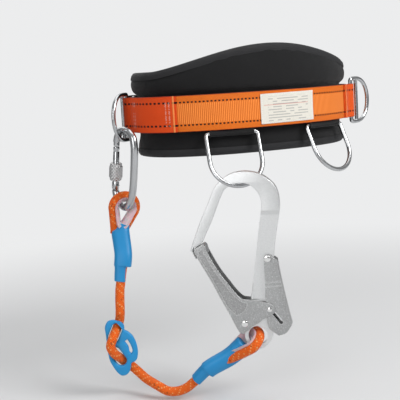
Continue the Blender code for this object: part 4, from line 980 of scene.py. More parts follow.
def soft_plate(name, outlines, low, high, bevel):
    """A plate with rounded edges: the first outline is its edge, the others are holes."""
    curve = bpy.data.curves.new(name, "CURVE")
    curve.dimensions = "2D"
    curve.fill_mode = "BOTH"
    curve.extrude = (high - low) / 2 - bevel
    curve.bevel_depth = bevel
    curve.bevel_resolution = 3
    curve.offset = -bevel
    for outline in outlines:
        spline = curve.splines.new("POLY")
        spline.points.add(len(outline) - 1)
        for slot, point in zip(spline.points, outline):
            slot.co = (point[0], point[1], 0.0, 1.0)
        spline.use_cyclic_u = True
    mesh = curve_mesh(curve, name)
    mesh.transform(Matrix.Translation((0, 0, (low + high) / 2)))
    return mesh


def fair(points, step=0.0016, corner=42.0):
    """Smooths an outline but keeps its sharp corners."""
    pts = [Vector(p) for p in points]
    n = len(pts)
    sharp = []
    for i in range(n):
        a, b = pts[i] - pts[i - 1], pts[(i + 1) % n] - pts[i]
        if a.length > 0 and b.length > 0 and math.degrees(a.angle(b)) > corner:
            sharp.append(i)
    if not sharp:
        sharp = [0]
    out = []
    for k, i in enumerate(sharp):
        j = sharp[(k + 1) % len(sharp)]
        run = [pts[i]]
        m = i
        while True:
            m = (m + 1) % n
            run.append(pts[m])
            if m == j:
                break
        if len(run) == 2:
            out.append(tuple(run[0]))
            continue
        line = smooth([(p.x, p.y, 0) for p in run], step)
        out += [(p.x, p.y) for p in line[:-1]]
    return out


def tube(name, points, radius, sides=20, cyclic=False, swell=None, oval=None, side=None):
    """A tube with uv: u once round, v along in metres. swell(v, u) scales the radius, oval(v) gives (width, depth) scales."""
    pts = [Vector(p) for p in points]
    n = len(pts)
    tans = []
    for i in range(n):
        a, b = (pts[i - 1], pts[(i + 1) % n]) if cyclic else (pts[max(0, i - 1)], pts[min(n - 1, i + 1)])
        tans.append((b - a).normalized())
    up = side if side is not None else (Vector((0.3, 0.2, 0.9)) if abs(tans[0].z) < 0.8 else Vector((1, 0.2, 0)))
    x = (up - tans[0] * up.dot(tans[0])).normalized()
    bm = bmesh.new()
    layer = bm.loops.layers.uv.new("uv")
    rows, dist = [], [0.0]
    for i in range(n):
        if i:
            dist.append(dist[-1] + (pts[i] - pts[i - 1]).length)
        if side is not None:
            x = side
        x = (x - tans[i] * x.dot(tans[i])).normalized()
        y = tans[i].cross(x)
        row = []
        for k in range(sides):
            a = TAU * k / sides
            r = radius if not callable(radius) else radius(dist[i])
            if swell:
                r *= swell(dist[i], k / sides)
            w, d = oval(dist[i]) if oval else (1.0, 1.0)
            row.append(bm.verts.new(pts[i] + x * math.cos(a) * r * w + y * math.sin(a) * r * d))
        rows.append(row)
    total = dist[-1] + ((pts[0] - pts[-1]).length if cyclic else 0.0)
    last = n if cyclic else n - 1
    for i in range(last):
        j = (i + 1) % n
        for k in range(sides):
            m = (k + 1) % sides
            f = bm.faces.new((rows[i][k], rows[i][m], rows[j][m], rows[j][k]))
            v0, v1 = dist[i], dist[j] if j else total
            for loop, uv in zip(f.loops, ((k / sides, v0), ((k + 1) / sides, v0), ((k + 1) / sides, v1), (k / sides, v1))):
                loop[layer].uv = uv
    if not cyclic:
        for row, v in ((rows[0], 0.0), (rows[-1], total)):
            f = bm.faces.new(row)
            for loop in f.loops:
                loop[layer].uv = (0.0, v)
    bmesh.ops.recalc_face_normals(bm, faces=bm.faces)
    mesh = bpy.data.meshes.new(name)
    bm.to_mesh(mesh)
    bm.free()
    return mesh


def sweep(name, places, section, at=None, caps=True):
    """A closed section carried along the belt: section(s) gives (off, z, v) points; uv is (s, v)."""
    at = at or belt
    bm = bmesh.new()
    layer = bm.loops.layers.uv.new("uv")
    rows, vs = [], []
    for s in places:
        sec = section(s)
        rows.append([bm.verts.new(at(s, p[0], p[1])) for p in sec])
        vs.append([p[2] if len(p) > 2 else p[1] for p in sec])
    count = len(rows[0])
    for i in range(len(rows) - 1):
        for k in range(count):
            m = (k + 1) % count
            f = bm.faces.new((rows[i][k], rows[i][m], rows[i + 1][m], rows[i + 1][k]))
            for loop, uv in zip(f.loops, ((places[i], vs[i][k]), (places[i], vs[i][m]), (places[i + 1], vs[i + 1][m]), (places[i + 1], vs[i + 1][k]))):
                loop[layer].uv = uv
    if caps:
        for row, v, s in ((rows[0], vs[0], places[0]), (rows[-1], vs[-1], places[-1])):
            f = bm.faces.new(row)
            for loop, w in zip(f.loops, v):
                loop[layer].uv = (s, w)
    bmesh.ops.recalc_face_normals(bm, faces=bm.faces)
    mesh = bpy.data.meshes.new(name)
    bm.to_mesh(mesh)
    bm.free()
    return mesh


def spaced(a, b, step):
    n = max(1, int(math.ceil(abs(b - a) / step)))
    return [a + (b - a) * k / n for k in range(n + 1)]


def strap_section(off, thick, half, crown=0.0, count=9):
    """Section of a strap: a thin bar with rounded selvedges, outer face at off."""
    pts = []
    for k in range(count):
        z = -half + 0.0006 + (2 * half - 0.0012) * k / (count - 1)
        pts.append((off + crown * (1 - (z / half) ** 2), z, z))
    pts.append((off - thick * 0.25, half - 0.0001, half))
    pts.append((off - thick * 0.75, half - 0.0001, half))
    for k in range(count):
        z = half - 0.0006 - (2 * half - 0.0012) * k / (count - 1)
        pts.append((off - thick, z, z))
    pts.append((off - thick * 0.75, -half + 0.0001, -half))
    pts.append((off - thick * 0.25, -half + 0.0001, -half))
    return pts


# ---------------------------------------------------------------- webbing belt
def ripple(s, z):
    """Slight waviness of the hand-laid webbing."""
    return 0.00035 * math.sin(s * 61.0 + 0.7) + 0.00025 * math.sin(s * 137.0 + z * 90.0)


def web_section(s):
    return [(o + ripple(s, z) * 0.6 - 0.00025, z, v) for o, z, v in strap_section(0.0, WEB_T - 0.0004, WEB_H / 2, 0.0002, 11)]


piece("webbing_belt", sweep("webbing_belt", spaced(S_PLATE, S_FRAME, 0.0022), web_section), "webbing", ["waist_webbing"])
piece("webbing_backing", sweep("webbing_backing", spaced(-0.247, 0.247, 0.004), lambda s: strap_section(-WEB_T - GAP, 0.0076, 0.0185, 0, 7), at=lambda s, o, z: belt(s, o, z + 0.0042)),
      "backing", ["belt_backing"])


def fold_path(tail, bar_off, bar_r, low, thick):
    """Centre line of a strap folded round a bar at the origin of x: x along the belt, y outwards."""
    r = bar_r + 0.0003 + thick / 2
    side = 1.0 if tail < 0 else -1.0
    pts = [(tail, low + thick / 2)]
    pts += [(x, low + thick / 2) for x in spaced(tail, 0.0, 0.002)[1:-1]]
    pts += [(side * r * math.sin(a), bar_off - r * math.cos(a)) for a in [math.pi * k / 14 for k in range(15)]]
    back = spaced(0.0, tail + side * 0.0015, 0.0012)[1:]
    for x in back:
        f = ease(abs(x) / (r * 3.2))
        y = (bar_off + r) * (1 - f) + (low + thick * 1.5 + 0.0002) * f
        pts.append((x, y))
    return pts


def ribbon(name, path, s_ref, half, thick, u0=0.0):
    """A strap whose centre line lies in the (along, outwards) plane of the belt."""
    pts = [Vector(p) for p in path]
    dist = [0.0]
    for a, b in zip(pts, pts[1:]):
        dist.append(dist[-1] + (b - a).length)
    norms = []
    for i in range(len(pts)):
        t = (pts[min(i + 1, len(pts) - 1)] - pts[max(0, i - 1)]).normalized()
        norms.append(Vector((-t.y, t.x)))

    def section(d):
        i = min(range(len(dist)), key=lambda k: abs(dist[k] - d))
        p, n = pts[i], norms[i]
        a, b = p + n * thick / 2, p - n * thick / 2
        out = []
        for k in range(9):
            z = -half + 0.0004 + (2 * half - 0.0008) * k / 8
            out.append((a.x, a.y, z))
        out.append((p.x, p.y, half))
        for k in range(9):
            z = half - 0.0004 - (2 * half - 0.0008) * k / 8
            out.append((b.x, b.y, z))
        out.append((p.x, p.y, -half))
        return out

    bm = bmesh.new()
    layer = bm.loops.layers.uv.new("uv")
    rows = []
    for d in dist:
        rows.append([(bm.verts.new(belt(s_ref + x, y, z)), z) for x, y, z in section(d)])
    count = len(rows[0])
    for i in range(len(rows) - 1):
        for k in range(count):
            m = (k + 1) % count
            quad = (rows[i][k], rows[i][m], rows[i + 1][m], rows[i + 1][k])
            f = bm.faces.new([q[0] for q in quad])
            for loop, q, d in zip(f.loops, quad, (dist[i], dist[i], dist[i + 1], dist[i + 1])):
                loop[layer].uv = (u0 + d, q[1])
    for row, d in ((rows[0], dist[0]), (rows[-1], dist[-1])):
        f = bm.faces.new([q[0] for q in row])
        for loop, q in zip(f.loops, row):
            loop[layer].uv = (u0 + d, q[1])
    bmesh.ops.recalc_face_normals(bm, faces=bm.faces)
    mesh = bpy.data.meshes.new(name)
    bm.to_mesh(mesh)
    bm.free()
    return mesh, dist[-1]


path = fold_path(0.0920, D_BAR_OFF, D_BAR_R, D_LEVEL, FOLD_T - 0.0001)
mesh, length = ribbon("fold_left", path, S_DL, WEB_H / 2, FOLD_T - 0.0001)
half_len = length - 0.0905
# The loop round the left D-ring takes a deeper, darker copy of the belt's orange: painted shade.
MATS["fold_left"] = webbing_mat("m_fold_left", (1.0, 0.090, 0.008), DARK_C, True, (length - 0.008, length - 0.0125, length - 0.066, length - 0.0705), False, 0.0062, 0.00120, length - 0.0018)
piece("fold_left", mesh, "fold_left", ["d_ring_fold_left"])
path = fold_path(-0.0300, D_BAR_OFF, D_BAR_R, D_LEVEL, FOLD_T - 0.0001)
mesh, length = ribbon("fold_right", path, S_DR, WEB_H / 2, FOLD_T - 0.0001)
# The loop round the right D-ring takes its own darker copy of the belt's orange: painted shade.
MATS["fold_right"] = webbing_mat("m_fold_right", (1.0, 0.120, 0.010), DARK_C, True, (length - 0.006,), False, 0.0055, 0.00110, length - 0.0018)
piece("fold_right", mesh, "fold_right", ["d_ring_fold_right"])


def label_at(s, o, z):
    """The label is a little out of true, and lifts slightly at its corners."""
    f = abs((s - 0.016) / 0.0395)
    lift = 0.0005 * f ** 4 * (abs(z) / 0.019) ** 2
    return belt(s, o + lift + ripple(s, z) * 0.4, z + 0.012 * (s - 0.016) * 0.5)


piece("label", sweep("label", spaced(-0.0235, 0.0555, 0.0020), lambda s: strap_section(GAP + 0.00055, 0.0004, 0.0190, 0, 9), at=label_at), "label", ["label_patch"])

# ---------------------------------------------------------------- pad
PAD_STEP = 0.0045


def pad_out(s, q):
    """Outer face of the pad: q runs from the bottom edge to the top edge."""
    t, b = pad_top(s) - 0.0002, pad_bottom(s) + 0.0002
    keys = [(-0.0118, b), (-0.0088, b + 0.0050), (-0.0084, b + 0.0120), (-0.0108, -0.0325), (-0.0116, -0.0300), (-0.0116, 0.0238), (-0.0100, 0.0262), (-0.0046, 0.0288),
            (-0.0030, 0.0288 + 0.45 * (t - 0.0288)), (-0.0048, t - 0.0090), (-0.0074, t - 0.0020), (-0.0100, t)]
    x = q * (len(keys) - 1)
    i = min(int(x), len(keys) - 2)
    f = x - i
    p = [Vector(k) for k in keys]
    p0, p1, p2, p3 = p[max(i - 1, 0)], p[i], p[i + 1], p[min(i + 2, len(p) - 1)]
    c = 0.5 * ((2 * p1) + (p2 - p0) * f + (2 * p0 - 5 * p1 + 4 * p2 - p3) * f * f + (3 * p1 - p0 - 3 * p2 + p3) * f ** 3)
    c = c.lerp(p1.lerp(p2, f), 0.5)
    return c.x, c.y


def pad_section(s):
    pts = []
    for k in range(45):
        o, z = pad_out(s, k / 44)
        wr = 0.0006 * noise.noise(Vector((s * 22, z * 30, 1.0))) + 0.0003 * noise.noise(Vector((s * 60, z * 80, 4.0)))
        if z > 0.03:
            o += wr * 1.6
        pts.append((o, z, z))
    t, b = pad_top(s), pad_bottom(s)
    for k in range(25):
        z = t - 0.0002 + (b - t + 0.0004) * k / 24
        quilt = 0.0011 * abs(math.sin(math.pi * (s / 0.034))) * math.sin(math.pi * min(1.0, max(0.0, (z - b) / (t - b)))) ** 0.5
        pts.append((FOAM_IN - 0.0002 - quilt, z, z))
    return pts




def settle(mesh, voxel, limit, held):
    """Inflates a closed padded shell a little with a cloth simulation, held where other layers press on it."""
    obj = bpy.data.objects.new("settle", mesh)
    SCENE.collection.objects.link(obj)
    rm = obj.modifiers.new("remesh", "REMESH")
    rm.mode, rm.voxel_size = "VOXEL", voxel
    bpy.context.view_layer.update()
    shell = bpy.data.meshes.new_from_object(obj.evaluated_get(bpy.context.evaluated_depsgraph_get()))
    bpy.data.objects.remove(obj, do_unlink=True)
    obj = bpy.data.objects.new("settle", shell)
    SCENE.collection.objects.link(obj)
    before = [v.co.copy() for v in shell.vertices]
    group = obj.vertex_groups.new(name="held")
    for v in shell.vertices:
        group.add([v.index], held(v.co), "REPLACE")
    cloth = obj.modifiers.new("cloth", "CLOTH")
    cs = cloth.settings
    cs.quality = 5
    cs.mass = 0.2
    cs.use_pressure = True
    cs.uniform_pressure_force = 4.0
    cs.tension_stiffness = cs.compression_stiffness = 25.0
    cs.bending_stiffness = 4.0
    cs.vertex_group_mass = "held"
    cs.effector_weights.gravity = 0.0
    cloth.point_cache.frame_start, cloth.point_cache.frame_end = 1, 20
    for f in range(1, 21):
        SCENE.frame_set(f)
    ev = obj.evaluated_get(bpy.context.evaluated_depsgraph_get())
    after = [v.co.copy() for v in ev.data.vertices]
    obj.modifiers.remove(cloth)
    SCENE.frame_set(1)
    for v, a, b in zip(shell.vertices, before, after):
        move = b - a
        if move.length > limit:
            move = move.normalized() * limit
        v.co = a + move
    sub = obj.modifiers.new("sub", "SUBSURF")
    sub.levels = sub.render_levels = 1
    bpy.context.view_layer.update()
    out = bpy.data.meshes.new_from_object(obj.evaluated_get(bpy.context.evaluated_depsgraph_get()))
    bpy.data.objects.remove(obj, do_unlink=True)
    return out


def pad_held(co):
    """Fully held behind the webbing and under the binding tapes, free in between."""
    s = min(PAD_KEYS, key=lambda k: (k[1] - Vector((co.x, co.y, 0))).length_squared)[0]
    t, b = pad_top(s), pad_bottom(s)
    if -0.031 < co.z < 0.031 or co.z > t - 0.010 or co.z < b + 0.010:
        return 1.0
    return max(0.0, 1.0 - min((co.z - 0.031) if co.z > 0 else 1.0, abs(t - 0.010 - co.z), abs(co.z - b - 0.010)) / 0.006) * 0.9


PAD_KEYS = [(s, belt(s, -0.010, 0)) for s in spaced(-PAD_END, PAD_END, 0.006)]
pad_mesh = sweep("pad", spaced(-PAD_END, PAD_END, PAD_STEP), pad_section)
piece("pad", settle(pad_mesh, 0.0040, 0.0022, pad_held), "pad", ["pad_outer_cover", "pad_foam_core", "pad_inner_lining"], sharp=0)


def tape(name, top, node):
    """Binding tape folded over the pad's edge."""
    rows = []
    inn = FOAM_IN - GAP - COVER_T - GAP

    def section(s):
        t, b = pad_top(s), pad_bottom(s)
        w = 0.00025 * math.sin(s * 260) + 0.0002 * math.sin(s * 91 + 1)
        if top:
            mid = 0.0262 + 0.45 * (t - 0.0262)
            cov = -0.0030 - 0.0050 * (t - 0.0090 - mid) / (t - mid) if t - 0.0090 > mid else -0.0030
            prof = [(cov + 0.0012 + w, t - 0.0090), (cov + 0.0015 + w, t - 0.0070), (-0.0046 + w, t - 0.0030), (-0.0070, t + 0.0004), (-0.0100, t + 0.0012), (-0.0140, t + 0.0012),
                    (inn + 0.0010, t + 0.0010), (inn - 0.0008, t - 0.0010), (inn - 0.0009, t - 0.0050), (inn - 0.0008, t - 0.0085), (inn - 0.0001, t - 0.0088), (inn, t - 0.0050),
                    (inn + 0.0004, t - 0.0008), (-0.0130, t + 0.0001), (-0.0078, t - 0.0006), (-0.0058 + w, t - 0.0040), (cov + 0.0005 + w, t - 0.0088)]
        else:
            prof = [(-0.0079 + w, b + 0.0086), (-0.0076 + w, b + 0.0054), (-0.0082 + w, b + 0.0022), (-0.0100, b - 0.0004), (-0.0120, b - 0.0012), (-0.0160, b - 0.0012), (inn - 0.0003, b - 0.0008),
                    (inn - 0.0009, b + 0.0012), (inn - 0.0009, b + 0.0080), (inn - 0.0001, b + 0.0083), (inn, b + 0.0012), (-0.0150, b - 0.0002), (-0.0112, b - 0.0001),
                    (-0.0094, b + 0.0020), (-0.0088 + w, b + 0.0060), (-0.0087 + w, b + 0.0085)]
        vs, d = [], 0.0
        for k, p in enumerate(prof):
            if k:
                d += math.dist(p, prof[k - 1])
            vs.append(d)
        return [(p[0], p[1], v - 0.008) for p, v in zip(prof, vs)]

    return piece(name, sweep(name, spaced(-PAD_END, PAD_END, 0.0035), section), "binding", [node], sharp=50.0)


tape("binding_top", True, "pad_binding_top")
tape("binding_bottom", False, "pad_binding_bottom")


def end_tape(name, s, sign):
    """Binding tape over the pad's front end."""
    t, b = pad_top(s), pad_bottom(s)
    zs = spaced(b + 0.0010, t - 0.0010, 0.004)
    bm = bmesh.new()
    layer = bm.loops.layers.uv.new("uv")
    rows = []
    for z in zs:
        q = min((abs(pad_out(s, k / 88)[1] - z), k / 88) for k in range(89))[1]
        o = pad_out(s, q)[0]
        inn = FOAM_IN - 0.0012
        prof = [(-0.0085, o + 0.0009), (-0.0010, o + 0.0007), (0.0009, o - 0.0016), (0.0011, (o + inn) / 2), (0.0009, inn + 0.0012), (-0.0010, inn - 0.0008), (-0.0085, inn - 0.0009),
                (-0.0085, inn - 0.0002), (0.0002, inn + 0.0004), (0.0002, o - 0.0012), (-0.0085, o + 0.0001)]
        rows.append([bm.verts.new(belt(s + sign * x, off, z)) for x, off in prof])
    n = len(rows[0])
    for i in range(len(rows) - 1):
        for k in range(n):
            m = (k + 1) % n
            f = bm.faces.new((rows[i][k], rows[i][m], rows[i + 1][m], rows[i + 1][k]))
            for loop, uv in zip(f.loops, ((zs[i], k * 0.0014 - 0.008), (zs[i], (k + 1) * 0.0014 - 0.008), (zs[i + 1], (k + 1) * 0.0014 - 0.008), (zs[i + 1], k * 0.0014 - 0.008))):
                loop[layer].uv = uv
    bm.faces.new(rows[0])
    bm.faces.new(rows[-1])
    bmesh.ops.recalc_face_normals(bm, faces=bm.faces)
    mesh = bpy.data.meshes.new(name)
    bm.to_mesh(mesh)
    bm.free()
    obj = piece(name, mesh, "binding", [], body="belt", sharp=50.0)


end_tape("binding_end_left", -PAD_END, -1.0)
end_tape("binding_end_right", PAD_END, 1.0)

# ---------------------------------------------------------------- rings
def d_points(step=60):
    bow = []
    for k in range(step + 1):
        a = math.pi / 2 - math.pi * k / step
        bow.append(Vector((D_CROSS + (D_REACH - D_CROSS) * max(0.0, math.cos(a)) ** 0.92, D_HALF * math.sin(a), 0)))
    c = 0.0032
    corner = [Vector((c * (1 - math.sin(math.pi / 2 * k / 6)), -D_HALF + c * (1 - math.cos(math.pi / 2 * k / 6)), 0)) for k in range(7)]
    side = [Vector((D_CROSS * (1 - k / 5), -D_HALF, 0)) for k in range(1, 4)]
    bar = [Vector((0, -D_HALF + c + (2 * D_HALF - 2 * c) * k / 12, 0)) for k in range(1, 12)]
    up = [Vector((p.x, -p.y, 0)) for p in reversed(corner)]
    return bow + side + corner + bar + up + [Vector((p.x, D_HALF, 0)) for p in reversed(side)]


def d_visual(name, m, node):
    ring = tube(name, d_points(), D_BAR_R, 20, cyclic=True, side=Vector((0, 0, 1)))
    cross = tube(name + "_x", [(D_CROSS, -D_HALF + 0.0005, 0), (D_CROSS, 0, 0), (D_CROSS, D_HALF - 0.0005, 0)], D_BAR_R * 0.93, 20)
    piece(name, sculpt(name, ring, unions=[cross]), "steel", [node], where=m, sharp=45.0)


d_visual("dring_left", D_LEFT_M, "d_ring_left")
d_visual("dring_right", D_RIGHT_M, "d_ring_right")


def u_points(length):
    pts = []
    c = 0.0042
    straight = length - RING_HALF
    pts += [Vector((x, 0, 0)) for x in spaced(-RING_HALF + c, RING_HALF - c, 0.005)]
    pts += [Vector((RING_HALF - c + c * math.sin(math.pi / 2 * k / 7), -c + c * math.cos(math.pi / 2 * k / 7), 0)) for k in range(1, 8)]
    pts += [Vector((RING_HALF, y, 0)) for y in spaced(-c, -straight, 0.004)[1:-1]]
    pts += [Vector((RING_HALF * math.cos(-math.pi * k / 48), -straight + RING_HALF * math.sin(-math.pi * k / 48), 0)) for k in range(49)]
    pts += [Vector((-RING_HALF, y, 0)) for y in spaced(-straight, -c, 0.004)[1:-1]]
    pts += [Vector((-RING_HALF + c - c * math.cos(math.pi / 2 * k / 7), -c + c * math.sin(math.pi / 2 * k / 7), 0)) for k in range(0, 7)]
    return pts


piece("tool_ring_left_v", tube("ring_l", u_points(0.0708), BAR_R, 20, cyclic=True, side=Vector((0, 0, 1))), "steel", ["tool_ring_left"], where=RING_L_M, sharp=0)
piece("tool_ring_right_v", tube("ring_r", u_points(0.0640), BAR_R, 20, cyclic=True, side=Vector((0, 0, 1))), "steel", ["tool_ring_right"], where=RING_R_M, sharp=0)
for tag, m, node in (("l", RING_L_M, "tool_ring_sleeve_left"), ("r", RING_R_M, "tool_ring_sleeve_right")):
    pts = [(x, 0, 0) for x in spaced(-0.0285, 0.0285, 0.0012)]
    piece("ring_loop_" + tag, tube("ring_loop_" + tag, pts, 0.0041, 24, swell=lambda d, u: 1 + 0.02 * math.sin(d * 900) * 0.5 + (0.03 if d < 0.002 or d > 0.055 else 0.0), side=Vector((0, 0, 1))),
          "backing", [node], where=m, sharp=50)

# ---------------------------------------------------------------- front buckle
fr = soft_plate("buckle_frame_v", [rounded(rect(-0.033, 0.026, -0.031, 0.031), 0.006, 8), rounded(rect(-0.0265, -0.0215, -0.0235, 0.0235), 0.0012, 4), rounded(rect(-0.0150, 0.0200, -0.0245, 0.0245), 0.003, 6)],
                -0.0015, 0.0015, 0.0007)
piece("buckle_frame_v", fr, "steel", ["buckle_frame"], where=BK @ Matrix.Translation((0, 0, FR_Z)))
ins = soft_plate("buckle_insert_v", [rounded([(-0.056, -0.0225), (-0.056, 0.0225), (-0.046, 0.029), (0.004, 0.029), (0.004, -0.029), (-0.046, -0.029)], 0.004, 8),
                                     rounded(rect(-0.0115, -0.0035, -0.0235, 0.0235), 0.001, 4), rounded(rect(-0.036, -0.018, -0.012, 0.012), 0.004, 8)], -0.0014, 0.0014, 0.0006)
piece("buckle_insert_v", ins, "steel", ["buckle_insert"], where=insert_pivot)
knurled = tube("slide_bar_v", [(0, y, 0) for y in spaced(-0.0292, 0.0292, 0.0010)], 0.0030, 40, swell=lambda d, u: (1.0 if 0.003 < d < 0.0554 else 0.86 + 0.05 * min(d, 0.0584 - d) / 0.003) - 0.0 * u, side=Vector((1, 0, 0)))
piece("slide_bar_v", knurled, "knurl", ["buckle_slide_bar"], where=insert_pivot @ Matrix.Translation((-0.0310, 0, 0.0048)), sharp=40)


def bar_fold(name, m, hole, tail, node, side):
    """Strap folded round a bar, in the bar's frame."""
    thick = 0.0012
    r = hole + thick / 2
    pts = [(side * x, -r) for x in spaced(tail, 0.0, 0.0015)]
    pts += [(-side * r * math.sin(a), -r * math.cos(a)) for a in [math.pi * k / 16 for k in range(1, 17)]]
    for x in spaced(0.0, tail - 0.002, 0.0012)[1:]:
        f = ease(x / 0.012)
        pts.append((side * x, r * (1 - f) + (-r + thick + 0.0002) * f))
    p = [Vector(q) for q in pts]
    bm = bmesh.new()
    layer = bm.loops.layers.uv.new("uv")
    rows, d = [], 0.0
    for i, q in enumerate(p):
        t = (p[min(i + 1, len(p) - 1)] - p[max(i - 1, 0)]).normalized()
        n = Vector((-t.y, t.x)) * thick / 2
        if i:
            d += (q - p[i - 1]).length
        h = WEB_H / 2
        ring = [(q + n, -h + 0.0004), (q + n, -h * 0.5), (q + n, 0.0), (q + n, h * 0.5), (q + n, h - 0.0004), (q, h), (q - n, h - 0.0004), (q - n, h * 0.5), (q - n, 0.0), (q - n, -h * 0.5), (q - n, -h + 0.0004), (q, -h)]
        rows.append([(bm.verts.new(m @ Vector((c.x, w, c.y))), w, d) for c, w in ring])
    c = len(rows[0])
    for a, b in zip(rows, rows[1:]):
        for k in range(c):
            quad = (a[k], a[(k + 1) % c], b[(k + 1) % c], b[k])
            f = bm.faces.new([v[0] for v in quad])
            for loop, v in zip(f.loops, quad):
                loop[layer].uv = (v[2], v[1])
    bm.faces.new([v[0] for v in rows[0]])
    bm.faces.new([v[0] for v in rows[-1]])
    bmesh.ops.recalc_face_normals(bm, faces=bm.faces)
    mesh = bpy.data.meshes.new(name)
    bm.to_mesh(mesh)
    bm.free()
    return piece(name, mesh, "webbing_plain", [node], sharp=50)


bar_fold("frame_fold_v", BK @ Matrix.Translation((-0.02975, 0, FR_Z)), 0.0042, 0.026, "frame_fold", -1.0)
bar_fold("insert_fold_v", insert_pivot @ Matrix.Translation((0.00025, 0, 0)), 0.0044, 0.026, "insert_fold", 1.0)
piece("strap_tail_v", sweep("strap_tail_v", spaced(S_TAIL0, S_TAIL1, 0.0022), lambda s: strap_section(WEB_T + 0.0026, 0.0020, WEB_H / 2 - 0.001, 0.0001, 9)), "webbing", ["strap_tail"])


def keeper_v(name, s, node):
    def at(q, o, w):
        return belt(s + q, o, w)
    low, high, g, t = -0.0034, 0.0058, 0.0007, 0.0011
    h = WEB_H / 2 + g
    loop_out = rounded([(low - g - t, -h - t), (high + g + t, -h - t), (high + g + t, h + t), (low - g - t, h + t)], 0.0022, 6)
    loop_in = rounded([(low - g, -h), (high + g, -h), (high + g, h), (low - g, h)], 0.0014, 6)
    qs = spaced(-0.0088, 0.0088, 0.0011)
    bm = bmesh.new()
    layer = bm.loops.layers.uv.new("uv")
    rows = []
    for q in qs:
        rows.append(([bm.verts.new(at(q, a, b)) for a, b in loop_out], [bm.verts.new(at(q, a, b)) for a, b in loop_in]))
    n = len(loop_out)
    for i in range(len(qs) - 1):
        for side in (0, 1):
            for k in range(n):
                f = bm.faces.new((rows[i][side][k], rows[i][side][(k + 1) % n], rows[i + 1][side][(k + 1) % n], rows[i + 1][side][k]))
                for loop, uv in zip(f.loops, ((k * 0.003, qs[i]), (k * 0.003 + 0.003, qs[i]), (k * 0.003 + 0.003, qs[i + 1]), (k * 0.003, qs[i + 1]))):
                    loop[layer].uv = uv
    for row in (rows[0], rows[-1]):
        for k in range(n):
            bm.faces.new((row[0][k], row[0][(k + 1) % n], row[1][(k + 1) % n], row[1][k]))
    bmesh.ops.recalc_face_normals(bm, faces=bm.faces)
    mesh = bpy.data.meshes.new(name)
    bm.to_mesh(mesh)
    bm.free()
    return piece(name, mesh, "backing", [node], sharp=50)


keeper_v("keeper_inner_v", S_BUCKLE + 0.084, "strap_keeper_inner")
keeper_v("keeper_outer_v", S_BUCKLE + 0.143, "strap_keeper_outer")

# ---------------------------------------------------------------- carabiner
cb = tube("carabiner_v", cara_path(0.0018), CARA_R, 28, side=Vector((0, 0, 1)), oval=lambda d: (0.96, 1.0))
cuts = [plate_mesh("a", [rect(-0.0320, -0.0130, -0.0222, -0.0200)], -0.0016, 0.0016), plate_mesh("b", [rect(-0.0320, -0.0130, -0.0845, -0.0600)], 0.0022, 0.0070),
        plate_mesh("c", [rect(-0.0320, -0.0130, -0.0845, -0.0600)], -0.0070, -0.0022), plate_mesh("d", [circle(HINGE, 0.00145, 24)], -0.006, 0.006)]
neck = along_y(turned_mesh("neck", [(0.0039, GATE_L - 0.0010), (0.0080, GATE_L - 0.0010), (0.0080, GATE_L + 0.0070), (0.0039, GATE_L + 0.0055), (0.0039, GATE_L - 0.0010)], 32))
neck.transform(CARA.inverted() @ GATE_M)
piece("carabiner_v", sculpt("carabiner_v", cb, cuts=cuts + [neck]), "steel", ["carabiner_body"], where=CARA, sharp=38)
barrel = along_y(turned_mesh("gate_v", [(0.0, GATE_L - 0.0006), (0.0030, GATE_L - 0.0006), (0.0037, GATE_L - 0.0012), (0.0040, GATE_L - 0.0024), (0.0040, GATE_L - 0.0060), (0.0036, GATE_L - 0.0066),
                                        (0.0036, GATE_L - 0.0078), (0.0040, GATE_L - 0.0084), (0.0040, 0.0062), (0.0046, 0.0052), (0.0046, -0.0020), (0.0043, -0.0034), (0.0034, -0.0042), (0.0, -0.0042)], 40))
window = plate_mesh("win", [rounded(rect(-0.0016, 0.0016, GATE_L - 0.0200, GATE_L - 0.0110), 0.0012, 5)], 0.0016, 0.0070)
piece("carabiner_gate_v", sculpt("gate_v", barrel, cuts=[plate_mesh("f", [rect(-0.008, 0.008, -0.009, 0.0068)], -0.0026, 0.0026), plate_mesh("e", [circle((0, 0), 0.00145, 24)], -0.008, 0.008), window]),
      "steel", ["carabiner_gate"], where=GATE_M, sharp=35)
a0, b0 = SLEEVE_LOW, SLEEVE_LOW + SLEEVE_LEN
prof = [(0.0043, a0), (0.0066, a0), (0.0074, a0 + 0.0006), (0.0077, a0 + 0.0014), (0.0077, a0 + 0.0034), (0.0081, a0 + 0.0040), (0.0088, a0 + 0.0046), (0.0088, b0 - 0.0046), (0.0081, b0 - 0.0040),
        (0.0077, b0 - 0.0034), (0.0077, b0 - 0.0014), (0.0074, b0 - 0.0006), (0.0066, b0), (0.0043, b0)]


def turned_uv(name, profile, steps=64):
    """A turned piece about local Y with uv: u round, v along."""
    bm = bmesh.new()
    layer = bm.loops.layers.uv.new("uv")
    rows = [[bm.verts.new((r * math.cos(TAU * k / steps), h, r * math.sin(TAU * k / steps))) for k in range(steps)] for r, h in profile]
    rows.append(rows[0])
    hs = [h for r, h in profile] + [profile[0][1]]
    for i in range(len(rows) - 1):
        for k in range(steps):
            m = (k + 1) % steps
            f = bm.faces.new((rows[i][k], rows[i][m], rows[i + 1][m], rows[i + 1][k]))
            for loop, uv in zip(f.loops, ((k / steps, hs[i]), ((k + 1) / steps, hs[i]), ((k + 1) / steps, hs[i + 1]), (k / steps, hs[i + 1]))):
                loop[layer].uv = uv
    bmesh.ops.recalc_face_normals(bm, faces=bm.faces)
    mesh = bpy.data.meshes.new(name)
    bm.to_mesh(mesh)
    bm.free()
    return mesh


